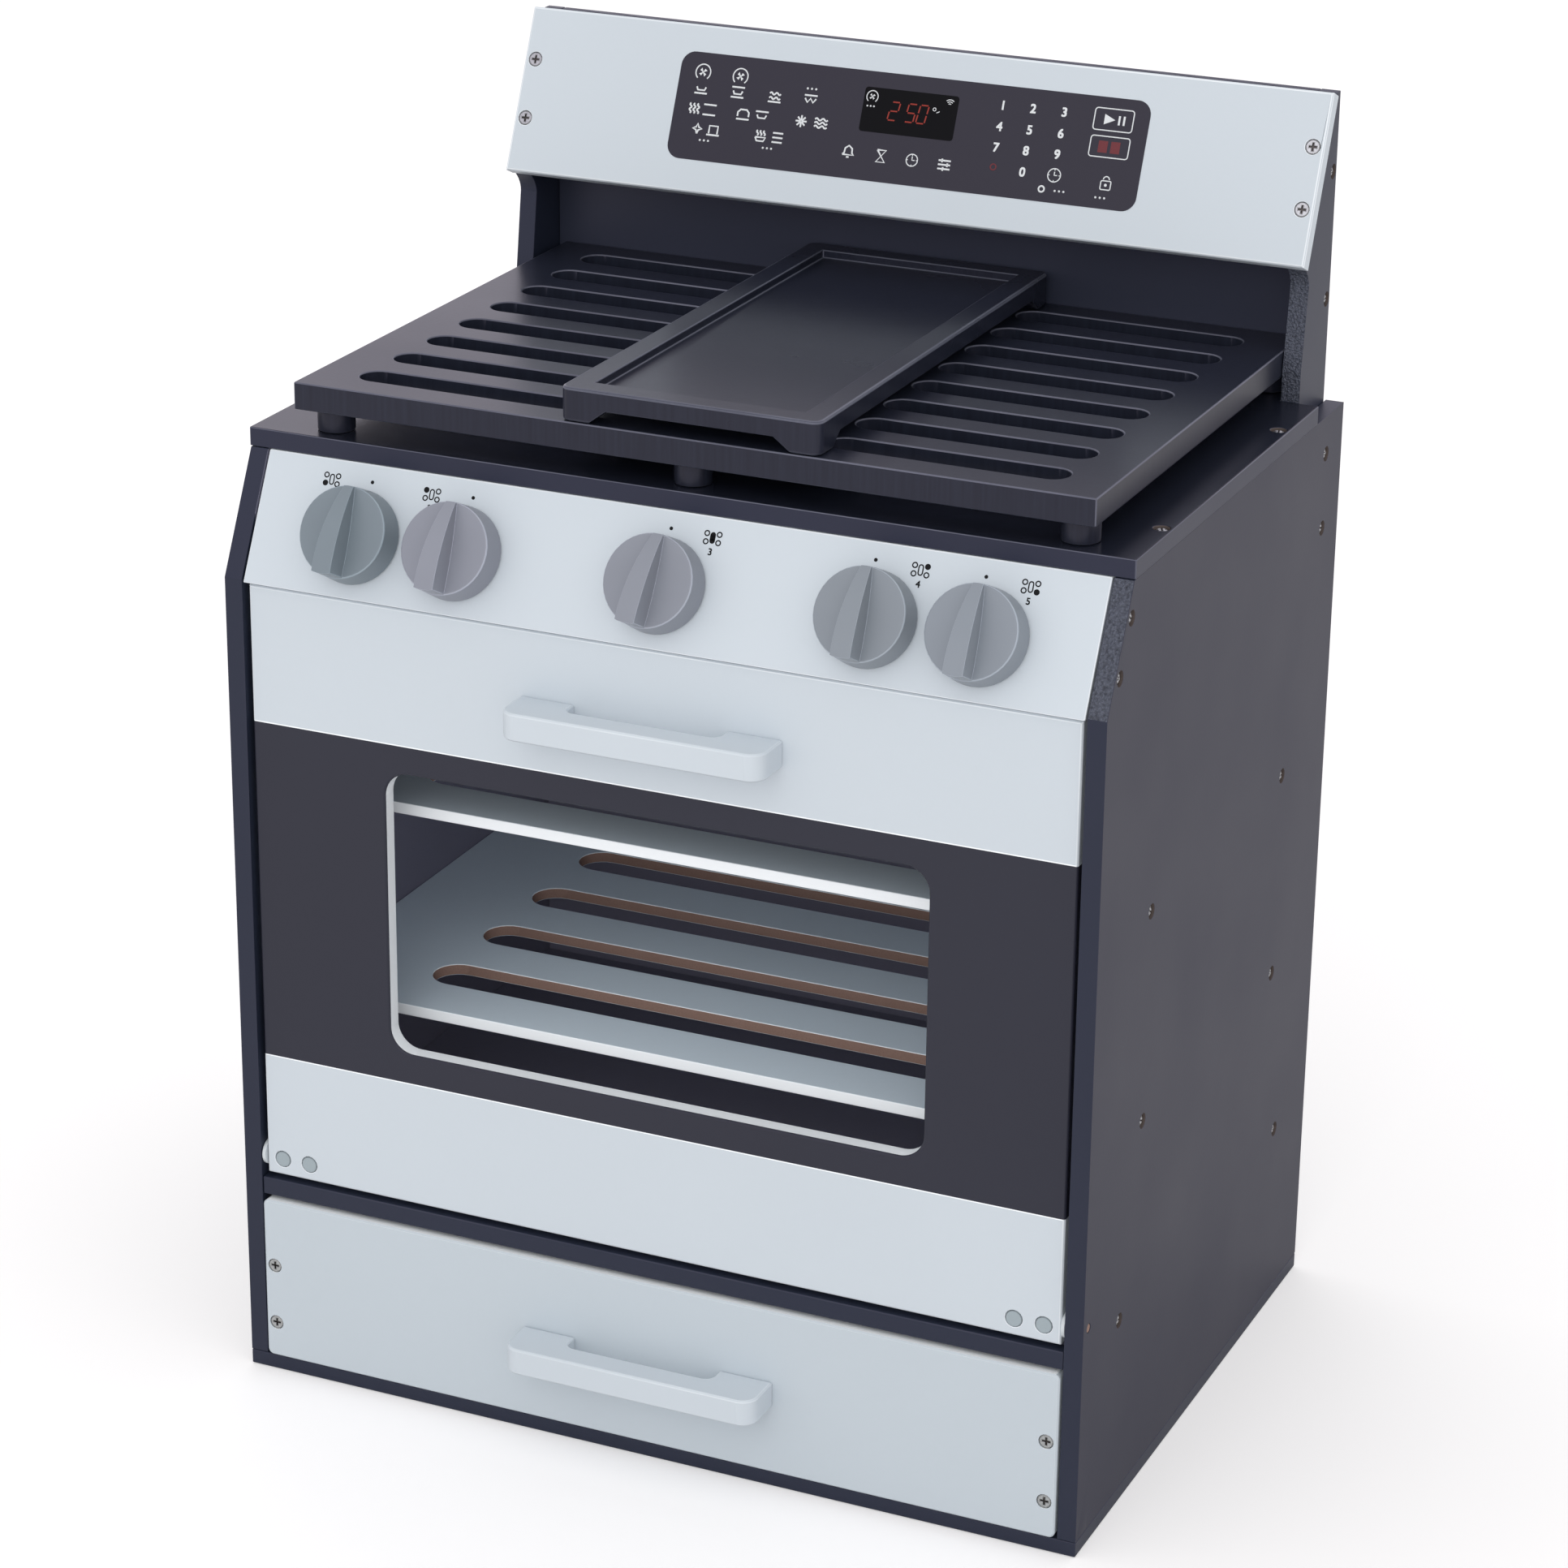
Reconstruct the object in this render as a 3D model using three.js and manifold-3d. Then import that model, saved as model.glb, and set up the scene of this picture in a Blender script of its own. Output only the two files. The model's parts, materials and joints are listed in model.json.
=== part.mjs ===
// A toy oven: a wooden play range with a drop-down door, a drawer, five knobs, a slotted hob grate
// with a loose griddle, and a leaning display panel above the hob.
// Millimetres, +Z up, front towards -Y. The origin is the middle of the bounding box on the floor.

import * as THREE from 'three';
import { mergeVertices } from 'three/addons/utils/BufferGeometryUtils.js';
import Module from 'manifold-3d';

const wasm = await Module();
wasm.setup();

// Cabinet
const cabinetWidth = 430;
const cabinetDepth = 316;
const boardThickness = 9;
const baseThickness = 7.4;
const kneeHeight = 406.3;       // where the front edge of a side panel starts to lean back
const slopeRise = 54.7;         // from the knee to the top of the side panels
const slopeSetback = 27.4;      // how far the lean has gone back there
const topOverhang = 0.5;
const fitGap = 0.3;             // between boards that are screwed together
const cutOverrun = 2;           // how far a cutting tool runs past a face

// Back, divider and racks
const backThickness = 9;
const backInset = 2.6;          // from the rear edges of the side panels
const tongueLength = 71;        // of a splash bracket, below the top of the side panels
const dividerUnderside = 94;
const dividerSetback = 0.5;
const rackSetback = 32;
const rackRearGap = 18.4;       // to the cabinet back
const rackThickness = 5.6;
const lowerRackRise = 84.5;     // underside above the oven's floor
const upperRackRise = 187.4;
const rackSlotWidth = 24.2;
const rackSlotInset = 56.7;     // slot's end from the rack's side
const rackFrontRail = 29.2;     // solid strip in front of the first slot
const rackRearRail = 43.4;      // solid strip behind the last slot
const rackSlotCount = 4;

// Screw wells in the outer faces, where flat-headed wood screws sit
const wellRadius = 3.7;
const wellDepth = 2.6;
const sideScrewInset = 47.6;    // divider screw, from the front edge
const rackScrewInset = 36;      // rack screws, from the rack's front and rear edges
const tongueScrewDrops = [19, 56];       // below the top of the side panels
const tongueScrewInset = 17;             // from a tongue's front edge
const bracketScrewRises = [41.9, 103.3]; // above the hob, into the splash back
const panelScrewShares = [0.32, 0.75];   // control panel screws, along its slope
const topScrewShares = [0.182, 0.821];   // top board screws, from its front edge to the notch

// Control panel and knobs
const controlThickness = 12;
const controlEndGap = 1;        // to the side panels
const controlLip = 1.1;         // lower edge below the knee
const knobEndInset = 53.3;      // outer knob's centre from the panel's end
const knobSpacing = 51.8;       // between the two knobs on a side
const knobRise = 27.3;          // knob centre above the knee, along the slope
const knobBaseRadius = 21.9;
const knobTaper = 0.6;
const knobHeight = 13.9;
const knobEdgeRadius = 0.9;
const knobGap = 1.2;            // running gap between knob and panel
const gripInset = 0.3;          // end of the grip from the edge of the knob's face
const gripHeelHalfWidth = 4.65;
const gripMiddleHalfWidth = 4.2;
const gripTipHalfWidth = 2.3;
const gripHeelHeight = 12.1;    // above the knob's face
const gripMiddleHeight = 10.6;
const gripTipHeight = 1.9;
const middleKnobTurn = THREE.MathUtils.degToRad(-4.6);   // the third knob is left a little off
const spindleRadius = 3;
const spindleClearance = 0.35;
const spindleReach = 9;         // into the knob
const spindleCollarRadius = 8;
const spindleCollarThickness = 2.4;

// Door
const doorThickness = 9;
const doorRecess = 2;
const doorSideGap = 2.4;
const doorBottomGap = 2.3;
const doorTopGap = 2.5;
const doorStile = 68.6;         // beside the window
const doorBottomRail = 77.4;
const doorTopRail = 80.3;
const windowCornerRadius = 12;
const boardEdge = 0.8;          // small bevel on the painted fronts
const hingeRise = 9.2;          // hinge axis above the door's lower edge
const pinRadius = 2;
const pinClearance = 0.3;
const pinReach = 16;            // into the door
const pinInset = 1;             // pin end below the side panel's outer face
const washerRadius = 6.3;
const capRadius = 4;
const capThickness = 1.4;
const capRise = 8.4;
const capInsets = [8.4, 22.8];  // from the door's side edge
const catchWidth = 14;
const catchDepth = 12;
const catchHeight = 24;
const catchDrop = 6;            // below the knee
const strikeRadius = 5;
const strikeThickness = 1;

// Handles of the door and the drawer
const handleLength = 128.6;
const handleDepth = 23.2;
const handleHeight = 13.2;
const handleCornerRadius = 8;
const handleEdge = 0.8;
const fingerLength = 75.2;
const fingerDepth = 10;
const fingerRadius = 5;
const doorHandleDrop = 37.9;    // handle's middle below the door's upper edge
const drawerHandleRise = 41.2;  // above the drawer front's lower edge

// Drawer
const drawerSideGap = 1;
const drawerTopGap = 2;
const drawerRearGap = 14.6;     // from the box to the cabinet back
const drawerProud = 1.5;
const drawerFloorGap = 0.6;
const drawerCornerRadius = 3;
const drawerBoxInset = 0.9;     // side boards, in from the ends of the front
const drawerBoxHeight = 62;
const drawerRunGap = 0.5;
const drawerBottomThickness = 6;
const drawerScrewRises = [18.3, 49.1];

// Hob grate and griddle
const grateLeftInset = 22.7;      // from the cabinet's left side
const grateRightInset = 18.7;
const grateSetback = 28.5;
const grateThickness = 12.9;
const footRadius = 8.7;
const footHeight = 10.5;
const leftFootInset = 14.3;     // foot centre from the grate's edges
const rightFootInset = 11.4;
const rearFootInset = 12.4;
const frontFootInset = 13.5;
const grateSlotWidth = 17;
const grateSlotEdge = 21.5;     // slot's outer end from the grate's side
const grateSlotSetback = 25.2;  // first slot's middle from the grate's front
const grateSlotRearInset = 24.3;   // last slot's middle from the grate's rear
const grateSlotCount = 8;
const griddleWidth = 126;
const griddleOffset = 5.5;
const griddleHeight = 15.7;
const griddleRim = 12;
const griddleRecess = 4;
const griddleCornerRadius = 5;
const griddleRearGap = 1;
const griddleLegWidth = 14;
const griddleLegHeight = 6.4;
const griddleLegSlope = 8.5;    // length of the slanted end of an arch

// Splash back above the hob
const bracketThickness = 9;
const bracketToeReach = 41;     // front edge of a bracket at the hob, from the cabinet's rear
const bracketNeckReach = 35.6;
const bracketNeckDrop = 9.5;    // below the display panel's lower rear edge
const bracketShoulderRise = 14.7;
const crownRise = 1.7;          // brackets and splash back past the display panel, along its lean
const displayOverhang = 1.2;    // past the brackets' outer faces
const displayHeight = 82.3;
const displayThickness = 9;
const displayLean = THREE.MathUtils.degToRad(23.5);
const displayReach = 49.4;      // lower front edge, from the cabinet's rear
const displayRise = 67.4;       // lower front edge above the hob
const displayScrewShares = [0.326, 0.683];
const overlayWidth = 243;
const overlayHeight = 52.8;
const overlayThickness = 0.6;
const overlayRise = 15.5;
const overlayShift = -0.7;
const overlayCornerRadius = 7;

// Cross-head screws
const screwHeadRadius = 3.4;
const screwHeadHeight = 1.8;
const screwShankRadius = 1.7;
const screwLength = 22;
const screwTip = 3;
const screwCrossWidth = 0.9;
const screwCrossLength = 4;
const screwCrossDepth = 1;
const screwClearance = 0.3;

// Worked out from the sizes above
const innerHalfWidth = cabinetWidth / 2 - boardThickness;
const boardHalfWidth = innerHalfWidth - fitGap;
const sideTop = kneeHeight + slopeRise;
const hobHeight = sideTop + fitGap + boardThickness;
const slopeLength = Math.hypot(slopeSetback, slopeRise);
const slopeAngle = Math.atan2(slopeSetback, slopeRise);
const backRear = cabinetDepth - backInset;
const backFront = backRear - backThickness;
const tongueBottom = sideTop - tongueLength;
const dividerTop = dividerUnderside + boardThickness;
const rackUndersides = [dividerTop + lowerRackRise, dividerTop + upperRackRise];
const rackDepth = backFront - rackRearGap - rackSetback;
const rackSlotPitch = (rackDepth - rackFrontRail - rackRearRail - rackSlotWidth) / (rackSlotCount - 1);
const doorBottom = dividerTop + doorBottomGap;
const doorHeight = kneeHeight - doorTopGap - doorBottom;
const doorHalfWidth = innerHalfWidth - doorSideGap;
const windowWidth = 2 * (doorHalfWidth - doorStile);
const windowHeight = doorHeight - doorBottomRail - doorTopRail;
const hingeHeight = doorBottom + hingeRise;
const hingeDepth = doorRecess + doorThickness / 2;
const drawerBottom = baseThickness + drawerFloorGap;
const drawerWidth = 2 * (innerHalfWidth - drawerSideGap);
const drawerFrontHeight = dividerUnderside - drawerTopGap - drawerBottom;
const frontReach = handleDepth + drawerProud + fitGap;
const knobFaceRadius = knobBaseRadius - knobTaper;
const gripReach = knobFaceRadius - gripInset;   // from the knob's middle to either end of its grip
const outerBracketFace = innerHalfWidth - fitGap;
const innerBracketFace = outerBracketFace - bracketThickness;
const bracketToe = cabinetDepth - bracketToeReach;
const displaySetback = cabinetDepth - displayReach;
const displayWidth = 2 * (outerBracketFace + displayOverhang);
const grateLeft = grateLeftInset - cabinetWidth / 2;
const grateRight = cabinetWidth / 2 - grateRightInset;
const griddleLeft = griddleOffset - griddleWidth / 2;
const grateDepth = backFront - fitGap - grateSetback;
const grateSlotLength = griddleLeft - grateLeft - grateSlotEdge;
const grateSlotPitch = (grateDepth - grateSlotSetback - grateSlotRearInset) / (grateSlotCount - 1);
const grateUnderside = hobHeight + fitGap + footHeight + fitGap;
const grateTop = grateUnderside + grateThickness;

const colours = {
  dark: 0x3d3f4a,
  pale: 0xd4dde2,
  knob: 0x9498a2,
  cap: 0xb4bcc0,
  steel: 0xb9bcc0,
  plywood: 0xc9b28c,
  overlay: 0x33343d,
};

function finish(colour, roughness, metalness = 0) {
  return new THREE.MeshStandardMaterial({ color: colour, roughness, metalness });
}

// Booleans: a closed geometry becomes a solid, and a solid becomes a geometry again.
function toSolid(geometry) {
  const bare = new THREE.BufferGeometry();
  bare.setAttribute('position', geometry.getAttribute('position'));
  bare.setIndex(geometry.getIndex());
  const merged = mergeVertices(bare);
  const index = merged.getIndex().array;
  const triangles = [];
  for (let i = 0; i < index.length; i += 3) {
    const [a, b, c] = [index[i], index[i + 1], index[i + 2]];
    if (a !== b && b !== c && c !== a) triangles.push(a, b, c);
  }
  return new wasm.Manifold(new wasm.Mesh({
    numProp: 3,
    vertProperties: new Float32Array(merged.getAttribute('position').array),
    triVerts: new Uint32Array(triangles),
  }));
}

function toGeometry(solid) {
  const mesh = solid.getMesh();
  const geometry = new THREE.BufferGeometry();
  geometry.setAttribute('position', new THREE.BufferAttribute(mesh.vertProperties, 3));
  geometry.setIndex(new THREE.BufferAttribute(mesh.triVerts, 1));
  const flat = geometry.toNonIndexed();
  flat.computeVertexNormals();
  return flat;
}

function cutAway(geometry, cutters) {
  let solid = toSolid(geometry);
  for (const cutter of cutters) solid = solid.subtract(toSolid(cutter));
  return toGeometry(solid);
}

// Outlines
function polygon(points) {
  return new THREE.Shape(points.map(([a, b]) => new THREE.Vector2(a, b)));
}

function roundedRectangle(target, left, bottom, width, height, radius) {
  const right = left + width;
  const top = bottom + height;
  target.moveTo(left + radius, bottom);
  target.lineTo(right - radius, bottom);
  target.absarc(right - radius, bottom + radius, radius, -Math.PI / 2, 0);
  target.lineTo(right, top - radius);
  target.absarc(right - radius, top - radius, radius, 0, Math.PI / 2);
  target.lineTo(left + radius, top);
  target.absarc(left + radius, top - radius, radius, Math.PI / 2, Math.PI);
  target.lineTo(left, bottom + radius);
  target.absarc(left + radius, bottom + radius, radius, Math.PI, 1.5 * Math.PI);
  return target;
}

function rectangle(left, bottom, width, height) {
  return polygon([
    [left, bottom],
    [left + width, bottom],
    [left + width, bottom + height],
    [left, bottom + height],
  ]);
}

function slotHole(left, length, middle, width) {
  const radius = width / 2;
  const hole = new THREE.Path();
  hole.absarc(left + radius, middle, radius, Math.PI / 2, 1.5 * Math.PI);
  hole.absarc(left + length - radius, middle, radius, -Math.PI / 2, Math.PI / 2);
  return hole;
}

// Extrusions along each axis. The two numbers of an outline are the other two axes in the order
// y, z for X, x, z for Y and x, y for Z.
function extrude(shape, length, edge = 0) {
  return new THREE.ExtrudeGeometry(shape, {
    depth: length - 2 * edge,
    curveSegments: 6,
    bevelEnabled: edge > 0,
    bevelThickness: edge,
    bevelSize: edge,
    bevelOffset: -edge,
    bevelSegments: 1,
  }).translate(0, 0, edge);
}

function extrudeX(shape, from, to, edge) {
  const turn = new THREE.Matrix4().makeBasis(
    new THREE.Vector3(0, 1, 0), new THREE.Vector3(0, 0, 1), new THREE.Vector3(1, 0, 0));
  return extrude(shape, to - from, edge).applyMatrix4(turn).translate(from, 0, 0);
}

function extrudeY(shape, from, to, edge) {
  const turn = new THREE.Matrix4().makeBasis(
    new THREE.Vector3(1, 0, 0), new THREE.Vector3(0, 0, 1), new THREE.Vector3(0, -1, 0));
  return extrude(shape, to - from, edge).applyMatrix4(turn).translate(0, to, 0);
}

function extrudeZ(shape, from, to, edge) {
  return extrude(shape, to - from, edge).translate(0, 0, from);
}

function block(x0, x1, y0, y1, z0, z1) {
  const box = new THREE.BoxGeometry(x1 - x0, y1 - y0, z1 - z0);
  return box.translate((x0 + x1) / 2, (y0 + y1) / 2, (z0 + z1) / 2);
}

// Round bars and holes between two values on one axis
function barX(radius, from, to, y, z, sides = 16) {
  const bar = new THREE.CylinderGeometry(radius, radius, to - from, sides);
  return bar.rotateZ(Math.PI / 2).translate((from + to) / 2, y, z);
}

function barY(radius, from, to, x, z, sides = 16) {
  const bar = new THREE.CylinderGeometry(radius, radius, to - from, sides);
  return bar.translate(x, (from + to) / 2, z);
}

function barZ(radius, from, to, x, y, sides = 16) {
  const bar = new THREE.CylinderGeometry(radius, radius, to - from, sides);
  return bar.rotateX(Math.PI / 2).translate(x, y, (from + to) / 2);
}

const oven = new THREE.Group();
oven.position.y = (frontReach - cabinetDepth) / 2;

// The control slope's own frame: X across, Y up the slope, Z out of the panel.
const controlSlope = new THREE.Group();
controlSlope.position.set(0, 0, kneeHeight);
controlSlope.rotation.x = Math.PI / 2 - slopeAngle;
controlSlope.updateMatrix();
oven.add(controlSlope);

// The display panel's frame: X across, Y up its face, Z out of it.
const displayFrame = new THREE.Group();
displayFrame.position.set(0, displaySetback, hobHeight + displayRise);
displayFrame.rotation.x = Math.PI / 2 - displayLean;
displayFrame.updateMatrix();
oven.add(displayFrame);

function add(name, geometry, material, parent = oven) {
  const mesh = new THREE.Mesh(geometry, material);
  mesh.name = name;
  parent.add(mesh);
  return mesh;
}

// Base board: the floor of the range, with the side panels standing on it
add('base_board', block(
  -cabinetWidth / 2, cabinetWidth / 2, 0, cabinetDepth, 0, baseThickness), finish(colours.dark, 0.5));

// Side panels: upright to the knee, then leaning back to carry the control panel
function sidePanel(side) {
  const outline = polygon([
    [0, baseThickness + fitGap],
    [cabinetDepth, baseThickness + fitGap],
    [cabinetDepth, sideTop],
    [slopeSetback, sideTop],
    [0, kneeHeight],
  ]);
  const outer = cabinetWidth / 2;
  const panel = extrudeX(outline, innerHalfWidth, outer);
  const well = (y, z) => barX(wellRadius, outer - wellDepth, outer + cutOverrun, y, z);
  const dividerMiddle = dividerUnderside + boardThickness / 2;
  const slopeWell = (share) => {
    const along = share * slopeLength;
    const deep = controlThickness / 2;
    return well(
      along * Math.sin(slopeAngle) + deep * Math.cos(slopeAngle),
      kneeHeight + along * Math.cos(slopeAngle) - deep * Math.sin(slopeAngle));
  };
  const cuts = [
    barX(pinRadius + pinClearance, innerHalfWidth - cutOverrun, outer + cutOverrun,
      hingeDepth, hingeHeight),
    well(sideScrewInset, dividerMiddle),
    well(cabinetDepth - sideScrewInset, dividerMiddle),
    ...tongueScrewDrops.map((drop) => well(bracketToe + tongueScrewInset, sideTop - drop)),
    ...panelScrewShares.map(slopeWell),
  ];
  for (const underside of rackUndersides) {
    const rackMiddle = underside + rackThickness / 2;
    cuts.push(well(rackSetback + rackScrewInset, rackMiddle));
    cuts.push(well(rackSetback + rackDepth - rackScrewInset, rackMiddle));
  }
  const right = toSolid(cutAway(panel, cuts));
  return toGeometry(side > 0 ? right : right.mirror([1, 0, 0]));
}
add('left_side_panel', sidePanel(-1), finish(colours.dark, 0.5));
add('right_side_panel', sidePanel(1), finish(colours.dark, 0.5));

// Top board: the hob, let in round the splash brackets at its rear corners
function topBoard() {
  const half = cabinetWidth / 2 + topOverhang;
  const notch = innerBracketFace - fitGap;
  const notchFront = bracketToe - fitGap;
  const outline = polygon([
    [-half, slopeSetback],
    [half, slopeSetback],
    [half, notchFront],
    [notch, notchFront],
    [notch, backFront - fitGap],
    [-notch, backFront - fitGap],
    [-notch, notchFront],
    [-half, notchFront],
  ]);
  const x = cabinetWidth / 2 - boardThickness / 2;
  const wells = topScrewShares.flatMap((share) => [-x, x].map((at) => barZ(
    wellRadius, hobHeight - wellDepth, hobHeight + cutOverrun, at,
    slopeSetback + share * (notchFront - slopeSetback))));
  return cutAway(extrudeZ(outline, hobHeight - boardThickness, hobHeight), wells);
}
add('top_board', topBoard(), finish(colours.dark, 0.4));

// Divider: the oven's floor and the drawer's roof
add('divider_board', block(
  -boardHalfWidth, boardHalfWidth, dividerSetback, backFront - fitGap,
  dividerUnderside, dividerTop), finish(colours.dark, 0.5));

// Cabinet back, below the brackets' tongues
add('cabinet_back', block(
  -boardHalfWidth, boardHalfWidth, backFront, backRear,
  baseThickness + fitGap, tongueBottom - fitGap), finish(colours.dark, 0.55));

// Racks: two slotted boards inside the oven
function rack(underside) {
  const outline = rectangle(-boardHalfWidth, rackSetback, 2 * boardHalfWidth, rackDepth);
  for (let i = 0; i < rackSlotCount; i++) {
    const middle = rackSetback + rackFrontRail + rackSlotWidth / 2 + i * rackSlotPitch;
    const end = boardHalfWidth - rackSlotInset;
    outline.holes.push(slotHole(-end, 2 * end, middle, rackSlotWidth));
  }
  return extrudeZ(outline, underside, underside + rackThickness);
}
add('lower_rack', rack(rackUndersides[0]), finish(colours.pale, 0.5));
add('upper_rack', rack(rackUndersides[1]), finish(colours.pale, 0.5));

// Control panel: a board on the slope, mitred level along its upper and lower edges
function controlPanel() {
  const mitre = controlThickness * Math.tan(slopeAngle);
  const lower = -controlLip / Math.cos(slopeAngle);
  const outline = polygon([
    [lower, 0],
    [lower + mitre, -controlThickness],
    [slopeLength + mitre, -controlThickness],
    [slopeLength, 0],
  ]);
  const half = innerHalfWidth - controlEndGap;
  const panel = extrudeX(outline, -half, half);
  const holes = knobPlaces.map((x) => barZ(
    spindleRadius + spindleClearance, -controlThickness - cutOverrun, cutOverrun, x, knobRise));
  return cutAway(panel, holes);
}
const outerKnob = boardHalfWidth - knobEndInset;
const innerKnob = outerKnob - knobSpacing;
const knobPlaces = [-outerKnob, -innerKnob, 0, innerKnob, outerKnob];
const knobTurns = [0, 0, middleKnobTurn, 0, 0];
add('control_panel', controlPanel(), finish(colours.pale, 0.45), controlSlope);

// Knobs: a disc with a raised grip across it, broad and high at its heel, narrow and low at its tip
function through(from, middle, to) {
  return 2 * middle - (from + to) / 2;
}
function knob() {
  const profile = [new THREE.Vector2(0, 0), new THREE.Vector2(knobBaseRadius, 0)];
  for (let i = 0; i <= 3; i++) {
    const angle = i * Math.PI / 6;
    profile.push(new THREE.Vector2(
      knobFaceRadius - knobEdgeRadius * (1 - Math.cos(angle)),
      knobHeight - knobEdgeRadius * (1 - Math.sin(angle))));
  }
  profile.push(new THREE.Vector2(0, knobHeight));
  const disc = new THREE.LatheGeometry(profile, 40).rotateX(Math.PI / 2);

  const side = through(gripHeelHalfWidth, gripMiddleHalfWidth, gripTipHalfWidth);
  const plan = new THREE.Shape();
  plan.moveTo(-gripHeelHalfWidth, -gripReach);
  plan.lineTo(gripHeelHalfWidth, -gripReach);
  plan.quadraticCurveTo(side, 0, gripTipHalfWidth, gripReach);
  plan.lineTo(-gripTipHalfWidth, gripReach);
  plan.quadraticCurveTo(-side, 0, -gripHeelHalfWidth, -gripReach);

  const crown = knobHeight + through(gripHeelHeight, gripMiddleHeight, gripTipHeight);
  const crest = new THREE.Shape();
  crest.moveTo(-gripReach, knobHeight / 2);
  crest.lineTo(gripReach, knobHeight / 2);
  crest.lineTo(gripReach, knobHeight + gripTipHeight);
  crest.quadraticCurveTo(0, crown, -gripReach, knobHeight + gripHeelHeight);

  const reach = gripHeelHalfWidth + cutOverrun;
  const bore = barZ(spindleRadius + spindleClearance, -cutOverrun, spindleReach, 0, 0);
  return toGeometry(toSolid(extrudeZ(plan, 0, crown))
    .intersect(toSolid(extrudeX(crest, -reach, reach)))
    .intersect(toSolid(barZ(gripReach, 0, crown, 0, 0, 40)))
    .add(toSolid(disc))
    .subtract(toSolid(bore)));
}

// Spindle: a plain shaft that turns with its knob, held behind the panel by a collar
function spindle() {
  const behind = controlThickness + fitGap;
  const tail = behind + spindleCollarThickness;
  return new THREE.LatheGeometry([
    new THREE.Vector2(0, -tail),
    new THREE.Vector2(spindleCollarRadius, -tail),
    new THREE.Vector2(spindleCollarRadius, -behind),
    new THREE.Vector2(spindleRadius, -behind),
    new THREE.Vector2(spindleRadius, knobGap + spindleReach - fitGap),
    new THREE.Vector2(0, knobGap + spindleReach - fitGap),
  ], 20).rotateX(Math.PI / 2);
}
knobPlaces.forEach((x, i) => {
  const disc = add(`knob_${i + 1}`, knob(), finish(colours.knob, 0.35), controlSlope);
  disc.position.set(x, knobRise, knobGap);
  disc.rotation.z = knobTurns[i];
  const shaft = add(`knob_spindle_${i + 1}`, spindle(), finish(colours.steel, 0.3, 1), controlSlope);
  shaft.position.set(x, knobRise, 0);
});

// Oven door: one board with a rounded window, hung on two pins near its lower edge
function ovenDoor() {
  const outline = rectangle(-doorHalfWidth, doorBottom, 2 * doorHalfWidth, doorHeight);
  outline.holes.push(roundedRectangle(new THREE.Path(), -windowWidth / 2, doorBottom + doorBottomRail,
    windowWidth, windowHeight, windowCornerRadius));
  const board = extrudeY(outline, doorRecess, doorRecess + doorThickness, boardEdge);
  const cuts = [];
  for (const side of [-1, 1]) {
    const edge = side * doorHalfWidth;
    const ends = [edge - side * (pinReach + fitGap), edge + side * cutOverrun];
    cuts.push(barX(pinRadius + pinClearance, Math.min(...ends), Math.max(...ends),
      hingeDepth, hingeHeight));
    for (const inset of capInsets) {
      cuts.push(barY(capRadius + fitGap, doorRecess - cutOverrun, doorRecess + capThickness + fitGap,
        edge - side * inset, doorBottom + capRise));
    }
  }
  return cutAway(board, cuts);
}
add('oven_door', ovenDoor(), finish(colours.pale, 0.45));

// Handle: a bar with rounded front corners and a finger notch behind it
function handle(front, middle) {
  const half = handleLength / 2;
  const finger = fingerLength / 2;
  const back = front - fitGap;
  const nose = back - handleDepth;
  const floor = back - fingerDepth;
  const outline = new THREE.Shape();
  outline.moveTo(half, back);
  outline.lineTo(finger, back);
  outline.lineTo(finger, floor + fingerRadius);
  outline.absarc(finger - fingerRadius, floor + fingerRadius, fingerRadius, 0, -Math.PI / 2, true);
  outline.lineTo(-finger + fingerRadius, floor);
  outline.absarc(-finger + fingerRadius, floor + fingerRadius, fingerRadius, -Math.PI / 2, -Math.PI, true);
  outline.lineTo(-finger, back);
  outline.lineTo(-half, back);
  outline.lineTo(-half, nose + handleCornerRadius);
  outline.absarc(-half + handleCornerRadius, nose + handleCornerRadius, handleCornerRadius,
    Math.PI, 1.5 * Math.PI);
  outline.lineTo(half - handleCornerRadius, nose);
  outline.absarc(half - handleCornerRadius, nose + handleCornerRadius, handleCornerRadius,
    -Math.PI / 2, 0);
  return extrudeZ(outline, middle - handleHeight / 2, middle + handleHeight / 2, handleEdge);
}
add('door_handle', handle(doorRecess, doorBottom + doorHeight - doorHandleDrop), finish(colours.pale, 0.45));

// Hinge: a steel pin through each side panel into the door, with a spacer washer between them
for (const [label, side] of [['left', -1], ['right', 1]]) {
  const span = (a, b) => [Math.min(side * a, side * b), Math.max(side * a, side * b)];
  const [pinFrom, pinTo] = span(doorHalfWidth - pinReach, cabinetWidth / 2 - pinInset);
  add(`hinge_pin_${label}`, barX(pinRadius, pinFrom, pinTo, hingeDepth, hingeHeight),
    finish(colours.steel, 0.3, 1));
  const [washerFrom, washerTo] = span(doorHalfWidth + fitGap, innerHalfWidth - fitGap);
  add(`hinge_washer_${label}`, cutAway(
    barX(washerRadius, washerFrom, washerTo, hingeDepth, hingeHeight, 28),
    [barX(pinRadius + pinClearance, washerFrom - cutOverrun, washerTo + cutOverrun,
      hingeDepth, hingeHeight)]), finish(colours.pale, 0.5));
  capInsets.forEach((inset, i) => {
    add(`hinge_cap_${label}_${i + 1}`, barY(capRadius, doorRecess, doorRecess + capThickness,
      side * (doorHalfWidth - inset), doorBottom + capRise, 24), finish(colours.cap, 0.4));
  });
}

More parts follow.
